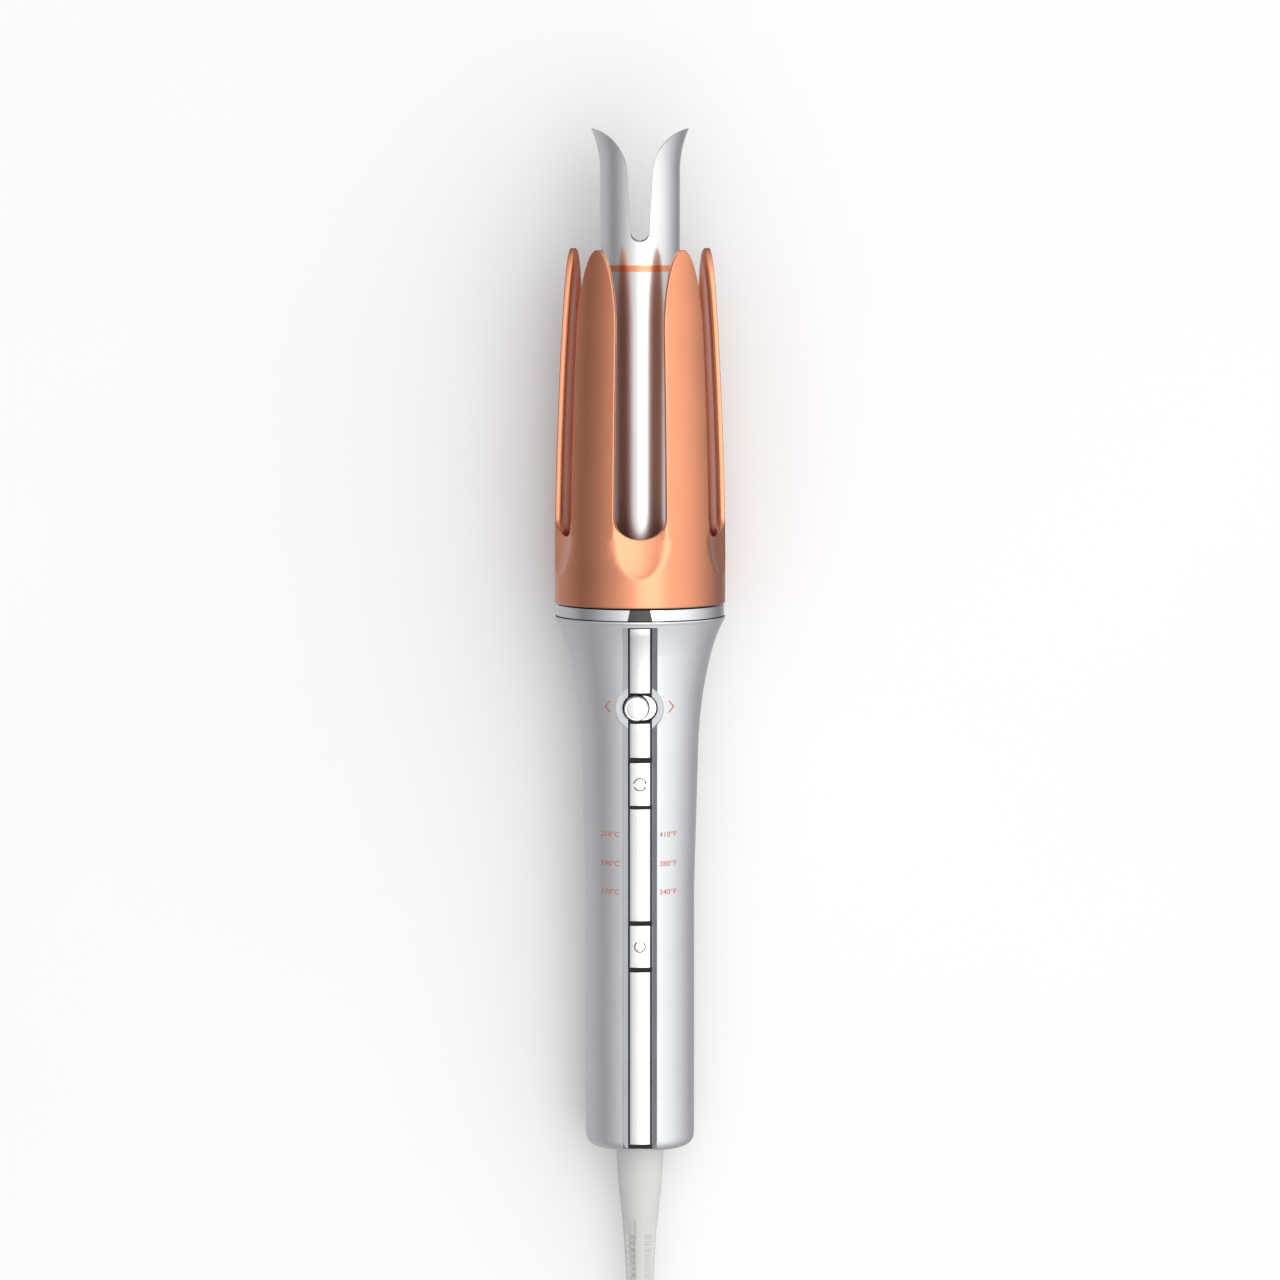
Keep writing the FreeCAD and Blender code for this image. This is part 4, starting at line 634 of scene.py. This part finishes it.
def crowned_strip(name, node, body, low, high, half_width=3.68, crown=0.62, edge=0.3, skirt=1.0):
    """Polished strip or button with a crowned top and softened edges, over its CAD node."""
    front = skin_of(node)
    across = steps_between(-half_width, half_width, 14)
    along = steps_between(low, high, max(8, int((high - low) / 1.5)))
    points, faces = [], []
    for z in along:
        level = front(0, min(max(z, low + 0.5), high - 0.5))
        for x in across:
            away = min(half_width - abs(x), z - low, high - z)
            y = level + crown * (x / half_width) ** 2 + rounding(away, edge, edge)
            points.append(lay(x, y, z))
    columns = len(across)
    for row in range(len(along) - 1):
        here = list(range(row * columns, (row + 1) * columns))
        faces += strip_faces(here, [index + columns for index in here])
    loop = list(range(columns)) + [row * columns + columns - 1 for row in range(1, len(along))]
    loop += [len(along) * columns - 1 - k for k in range(1, columns)]
    loop += [row * columns for row in range(len(along) - 2, 0, -1)]
    down = AHEAD * skirt / 1000
    first = len(points)
    points += [points[index] + down for index in loop]
    for k in range(len(loop)):
        following = (k + 1) % len(loop)
        faces.append((loop[k], loop[following], first + following, first + k))
    piece = mesh_object(name, points, faces)
    piece.data.set_sharp_from_angle(angle=math.radians(50))
    dress(piece, FINISHES["bright_chrome"])
    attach(piece, body)
    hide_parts(node)
    return piece


KEY_CROWN = 0.5
crowned_strip("lower_trim", "lower_strip", "housing", 2.6, 64.8)
crowned_strip("window_trim", "temperature_window", "housing", 83.0, 123.3)
crowned_strip("middle_trim", "middle_strip", "housing", 141.6, 154.0)
crowned_strip("upper_trim", "upper_strip", "housing", 164.8, 188.4)
crowned_strip("power_key_top", "power_button", "power_key", 66.3, 81.5, crown=KEY_CROWN)
crowned_strip("rotation_key_top", "rotation_button", "rotation_key", 124.4, 139.9, crown=KEY_CROWN)


def turned_about_ahead(name, centre_x, centre_z, profile, columns=72):
    """Round piece about a line that points ahead, from (radius, depth) pairs."""
    points = []
    for radius, depth in profile:
        for k in range(columns):
            turn = 2 * math.pi * k / columns
            points.append(lay(centre_x + radius * math.cos(turn), depth, centre_z + radius * math.sin(turn)))
    return mesh_object(name, points, grid_faces(len(profile), columns))


SLIDER_Z = 159.4
cap_low, cap_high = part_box("slider_cap")
CAP_X = -1000 * (cap_low.y + cap_high.y) / 2
cap_front = skin_of("slider_cap")(CAP_X, SLIDER_Z)
face = [(max(0.001, 3.5 * k / 10), cap_front + 0.45 * (k / 10) ** 2) for k in range(11)]
rim = [(3.6, cap_front + 0.5), (3.75, cap_front + 0.42), (3.95, cap_front + 0.45), (4.15, cap_front + 0.6),
       (4.3, cap_front + 0.82), (4.36, cap_front + 1.1), (4.36, cap_front + 2.6)]
cap = turned_about_ahead("slider_knob", CAP_X, SLIDER_Z, face + rim)
cap.data.set_sharp_from_angle(angle=math.radians(60))
dress(cap, FINISHES["bright_chrome"])
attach(cap, "direction_slide")
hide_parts("slider_cap")


# ---------------------------------------------------------------- printing, and painted shade in the seams
def laid_on(name, shape, nodes, body, material, x=0.0, z=0.0, lift=0.05):
    """Flat shape (points in mm to the right and up, faces) laid on the front of these CAD nodes."""
    front = skin_of(*nodes)
    flat, faces = shape
    points = []
    for right_of, above in flat:
        level = front(x + right_of, z + above)
        if level is None:
            level = front(x + 0.97 * right_of, z + 0.97 * above)
        points.append(lay(x + right_of, level - lift, z + above))
    piece = mesh_object(name, points, faces)
    dress(piece, material)
    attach(piece, body)
    return piece


def words(text, height):
    curve = bpy.data.curves.new("words", "FONT")
    curve.body = text
    curve.size = height / 0.72
    curve.align_x = "CENTER"
    curve.align_y = "CENTER"
    curve.resolution_u = 3
    holder = bpy.data.objects.new("words", curve)
    mesh = bpy.data.meshes.new_from_object(holder)
    shape = [(v.co.x, v.co.y) for v in mesh.vertices], [tuple(p.vertices) for p in mesh.polygons]
    bpy.data.objects.remove(holder)
    bpy.data.curves.remove(curve)
    bpy.data.meshes.remove(mesh)
    return shape


def arc_band(radius, width, start, end, steps):
    """Part of a ring between two angles in degrees."""
    points, faces = [], []
    for k in range(steps + 1):
        turn = math.radians(start + (end - start) * k / steps)
        for reach in (radius - width / 2, radius + width / 2):
            points.append((reach * math.cos(turn), reach * math.sin(turn)))
    for k in range(steps):
        faces.append((2 * k, 2 * k + 1, 2 * k + 3, 2 * k + 2))
    return points, faces


def chevron(direction, half_height=2.1, reach=0.85, width=0.5):
    points, faces = [], []
    for k in range(9):
        share = k / 4 - 1
        middle = direction * reach * (1 - 2 * abs(share))
        for side in (-width / 2, width / 2):
            points.append((middle + side, half_height * share))
    for k in range(8):
        faces.append((2 * k, 2 * k + 1, 2 * k + 3, 2 * k + 2))
    return points, faces


def together(*shapes):
    points, faces = [], []
    for more_points, more_faces in shapes:
        start = len(points)
        points += more_points
        faces += [tuple(start + index for index in face) for face in more_faces]
    return points, faces


def arrow_head(radius, angle, size, turn_way):
    """Small triangle at the end of an arc."""
    turn = math.radians(angle)
    tip = turn + turn_way * size / radius
    points = [
        ((radius - size / 2) * math.cos(turn), (radius - size / 2) * math.sin(turn)),
        ((radius + size / 2) * math.cos(turn), (radius + size / 2) * math.sin(turn)),
        (radius * math.cos(tip), radius * math.sin(tip)),
    ]
    return points, [(0, 1, 2)]


def stadium_band(half_length, half_height, width, steps=24):
    points, faces = [], []
    straight = half_length - half_height
    places = []
    for side in (1, -1):
        for k in range(steps + 1):
            turn = math.radians(-90 + 180 * k / steps) + (0 if side > 0 else math.pi)
            places.append((side * straight, turn))
    for middle, turn in places:
        for reach in (half_height - width, half_height):
            points.append((middle + reach * math.cos(turn), reach * math.sin(turn)))
    count = len(places)
    for k in range(count):
        following = (k + 1) % count
        faces.append((2 * k, 2 * k + 1, 2 * following + 1, 2 * following))
    return points, faces


SHELL = ("front_handle_shell",)
LETTER_HEIGHT = 1.9
CHEVRON_HEIGHT = 160
for height, celsius, fahrenheit in ((114.1, 210, 410), (103.6, 190, 380), (93.4, 170, 340)):
    left_words = words(f"{celsius}°C", LETTER_HEIGHT)
    laid_on(f"label_{celsius}_C", left_words, SHELL, "housing", PRINT_RED, -10.6, height)
    right_words = words(f"{fahrenheit}°F", LETTER_HEIGHT)
    laid_on(f"label_{fahrenheit}_F", right_words, SHELL, "housing", PRINT_RED, 10.0, height)
laid_on("chevron_left", chevron(-1), SHELL, "housing", PRINT_RED, -11.4, CHEVRON_HEIGHT)
laid_on("chevron_right", chevron(1), SHELL, "housing", PRINT_RED, 11.1, CHEVRON_HEIGHT)

ICON_LINE, ICON_LIFT = 0.42, 0.1
power_icon = together(
    arc_band(1.9, ICON_LINE, 125, 415, 30),
    ([(-0.17, 0.7), (0.17, 0.7), (0.17, 2.5), (-0.17, 2.5)], [(0, 1, 2, 3)]),
)
laid_on("power_icon", power_icon, ("power_key_top",), "power_key", ICON_GREY, 0, 73.9, ICON_LIFT)
turn_icon = together(
    arc_band(2.2, ICON_LINE, 25, 172, 20), arrow_head(2.2, 25, 1.0, -1),
    arc_band(2.2, ICON_LINE, 205, 318, 20), arrow_head(2.2, 318, 1.0, 1),
)
laid_on("turn_icon", turn_icon, ("rotation_key_top",), "rotation_key", ICON_GREY, 0, 132.1, ICON_LIFT)

# Near-black bands round the slider and round its knob: painted shade standing for the shadowed gaps about
# them.
AROUND_SLIDER = ("control_channel", "slider_plate", "front_handle_shell")
laid_on("slider_gap_shade", stadium_band(6.5, 5.15, 0.75), AROUND_SLIDER, "housing", GAP_SHADE_BLACK, 0,
        SLIDER_Z, 0.06)
laid_on("knob_gap_shade", arc_band(4.55, 0.4, 0, 360, 60), ("slider_plate",), "direction_slide", GAP_SHADE_BLACK,
        CAP_X, SLIDER_Z, 0.05)


def band_around(name, profile, material, body, columns=144):
    """Ring about the barrel's axis from (radius, height) pairs."""
    points = []
    for radius, height in profile:
        points += [around(radius, 2 * math.pi * k / columns, height) for k in range(columns)]
    piece = mesh_object(name, points, grid_faces(len(profile), columns))
    dress(piece, material)
    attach(piece, body)
    return piece


# A near-black band at the trim ring's foot: painted shade standing for the shadowed gap between the ring and
# the handle's rim.
band_around("ring_gap_shade", [(29.5, 190.82), (30.06, 190.82), (30.08, 191.0), (30.06, 191.2), (29.5, 191.2)],
            GAP_SHADE_BLACK, "housing")


# ---------------------------------------------------------------- tie and plug
def strap(path, closed, half_width, thickness, centre):
    """Flat strap swept along (aside, height) points, square to the way it runs."""
    section = [(-1, 0), (-0.97, 0.8), (-0.9, 1), (0.9, 1), (0.97, 0.8), (1, 0), (0.97, -0.8), (0.9, -1),
               (-0.9, -1), (-0.97, -0.8)]
    points, faces = [], []
    count = len(path)
    for k in range(count):
        before = path[k - 1] if closed or k else path[0]
        after = path[(k + 1) % count] if closed or k < count - 1 else path[-1]
        run = Vector((after[0] - before[0], after[1] - before[1])).normalized()
        for wide, thick in section:
            aside = path[k][0] - run.y * thick * thickness / 2
            height = path[k][1] + run.x * thick * thickness / 2
            points.append(ground(centre + wide * half_width, aside, height))
    size = len(section)
    for k in range(count if closed else count - 1):
        following = (k + 1) % count
        for m in range(size):
            n = (m + 1) % size
            faces.append((k * size + m, k * size + n, following * size + n, following * size + m))
    if not closed:
        faces.append(tuple(range(size)))
        faces.append(tuple((count - 1) * size + m for m in range(size)))
    return points, faces


def tie_path(half, low, high, corner):
    path = []
    for side_y, side_z, start in ((1, 1, 0), (-1, 1, 90), (-1, -1, 180), (1, -1, 270)):
        for k in range(9):
            turn = math.radians(start + 90 * k / 8)
            middle_y = side_y * (half - corner)
            middle_z = high - corner if side_z > 0 else low + corner
            path.append((middle_y + corner * math.cos(turn), middle_z + corner * math.sin(turn)))
    return path


loop_points, loop_faces = strap(tie_path(18.0, 0.6, 13.0, 4.0), True, 7.5, 1.1, WAIST)
flap = [(13.0, 14.0), (8.0, 14.1), (2.0, 14.1), (-4.0, 14.05), (-6.0, 14.25), (-7.5, 14.6)]
flap_points, flap_faces = strap(flap, False, 7.3, 1.0, WAIST)
shift = len(loop_points)
tie = mesh_object("cord_tie", loop_points + flap_points,
                  loop_faces + [tuple(shift + index for index in face) for face in flap_faces])
tie.data.set_sharp_from_angle(angle=math.radians(60))
dress(tie, FINISHES["tie_black"])
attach(tie, "housing")
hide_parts("hank_tie")

PLUG_START, PLUG_ASIDE, PLUG_HEIGHT = 268, 12.85, 6.85
# (distance past the plug's start, half-width, half-height) along the plug
PLUG_SECTIONS = [(-7, 3.2, 3.2), (-6.7, 3.6, 3.6), (-6, 3.8, 3.8), (0, 4.4, 4.3), (3, 5.4, 4.9),
                 (6, 7.4, 5.6), (10, 10.2, 6.2), (14, 12.6, 6.55), (18, 14.3, 6.7), (22, 15.6, 6.8),
                 (26, 16.7, 6.83), (30, 17.4, 6.84), (32.4, 17.4, 6.8),
                 (33.4, 17.1, 6.6), (33.9, 16.6, 6.2), (34, 15.9, 5.6)]


def plug_shell():
    """Two-pin plug: a flat hexagonal grip that narrows to the cord, with ribbed sides."""
    rings = []
    for (d0, w0, h0), (d1, w1, h1) in zip(PLUG_SECTIONS, PLUG_SECTIONS[1:]):
        steps = max(1, int((d1 - d0) / 0.55))
        for k in range(steps):
            share = k / steps
            rings.append((d0 + (d1 - d0) * share, w0 + (w1 - w0) * share, h0 + (h1 - h0) * share))
    rings.append(PLUG_SECTIONS[-1])
    columns = 64
    points = []
    for away, wide, high in rings:
        power = 2 / (2 + 3 * eased(away, 2, 18))
        ribbed = eased(away, 9, 10) * (1 - eased(away, 24, 25))
        groove = 0.45 * ribbed * (0.5 - 0.5 * math.cos(2 * math.pi * (away - 9) / 2.5))
        for k in range(columns):
            turn = 2 * math.pi * k / columns
            cosine, sine = math.cos(turn), math.sin(turn)
            aside = math.copysign(abs(cosine) ** power, cosine)
            height = math.copysign(abs(sine) ** power, sine)
            inset = groove * eased(abs(aside), 0.75, 0.95)
            across = PLUG_ASIDE + aside * (wide - inset)
            points.append(ground(PLUG_START + away, across, PLUG_HEIGHT + height * high))
    faces = grid_faces(len(rings), columns)
    for start, away in ((0, rings[0][0]), ((len(rings) - 1) * columns, rings[-1][0])):
        faces += fan_faces(len(points), start, columns)
        points.append(ground(PLUG_START + away, PLUG_ASIDE, PLUG_HEIGHT))
    return mesh_object("plug_shell", points, faces)


plug = plug_shell()
plug.data.set_sharp_from_angle(angle=math.radians(50))
dress(plug, FINISHES["plug_grey"])
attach(plug, "housing")
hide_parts("plug_body")


PIN_ASIDE = 9.3
PIN_PROFILE = [(1.95, 301.8), (1.95, 319.6), (1.85, 320.3), (1.5, 320.8), (0.9, 320.98), (0.001, 321)]
SLEEVE_PROFILE = [(1.98, 301.8), (1.98, 311.6), (1.94, 311.9)]


def pin_pair(name, profile, columns=32):
    """The same round shape, from (radius, distance past the handle) pairs, on both sides of the plug."""
    points, faces = [], []
    for side in (-1, 1):
        faces += grid_faces(len(profile), columns, len(points))
        for radius, away in profile:
            for k in range(columns):
                turn = 2 * math.pi * k / columns
                aside = PLUG_ASIDE + side * PIN_ASIDE + radius * math.cos(turn)
                points.append(ground(away, aside, PLUG_HEIGHT + radius * math.sin(turn)))
    return mesh_object(name, points, faces)


pin_metal = pin_pair("plug_pin_metal", PIN_PROFILE)
pin_sleeves = pin_pair("pin_sleeves", SLEEVE_PROFILE)
dress(pin_metal, FINISHES["pin_metal"])
dress(pin_sleeves, SLEEVE_DARK)
for piece in (pin_metal, pin_sleeves):
    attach(piece, "housing")
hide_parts("plug_pins")


# ---------------------------------------------------------------- stage and lights
scene = bpy.context.scene
scene.view_settings.view_transform = "Standard"

floor_mesh = bpy.data.meshes.new("floor")
floor_mesh.from_pydata([(-8, -8, 0), (8, -8, 0), (8, 8, 0), (-8, 8, 0)], [], [(0, 1, 2, 3)])
floor = add_object("floor", floor_mesh)
floor.location.z = -0.0002
dress(floor, surface("floor_paper", (0.90, 0.90, 0.90), 0.7, vary=0.01, patch=3, grain=600,
                     grain_strength=0.05, specular=0.2))
floor.visible_glossy = False

SKY_TILT = math.radians(28)
world = bpy.data.worlds.new("studio")
scene.world = world
world.use_nodes = True
sky = world.node_tree
sky_place = sky.nodes.new("ShaderNodeTexCoord")
sky_lean = sky.nodes.new("ShaderNodeVectorMath")
sky_lean.operation = "DOT_PRODUCT"
sky_lean.inputs[1].default_value = (0, -math.sin(SKY_TILT), math.cos(SKY_TILT))
sky.links.new(sky_place.outputs["Generated"], sky_lean.inputs[0])
sky_level = spread_of(sky, sky_lean.outputs["Value"], 0.0, 1.0)
sky_level.node.inputs["From Min"].default_value = -1.0
sky_shade = ramp(sky, sky_level, [
    (0.0, (0.42, 0.42, 0.43)), (0.12, (0.36, 0.36, 0.37)), (0.3, (0.19, 0.19, 0.20)),
    (0.44, (0.24, 0.24, 0.25)), (0.56, (0.36, 0.36, 0.37)), (0.72, (0.56, 0.56, 0.57)),
    (0.88, (0.86, 0.86, 0.86)), (1.0, (1.0, 1.0, 1.0)),
])
sky.links.new(sky_shade, sky.nodes["Background"].inputs["Color"])
sky.nodes["Background"].inputs["Strength"].default_value = 1.3


def softbox(name, place, size, power, target=(0, 0, 0.03)):
    data = bpy.data.lights.new(name, "AREA")
    data.shape = "RECTANGLE"
    data.size, data.size_y = size
    data.energy = power
    lamp = add_object(name, data)
    lamp.location = place
    lamp.rotation_mode = "QUATERNION"
    lamp.rotation_quaternion = (Vector(target) - Vector(place)).to_track_quat("-Z", "Y")
    lamp.visible_camera = False
    return lamp


softbox("key_box", (0.0, -0.35, 1.5), (2.0, 1.0), 5.5)
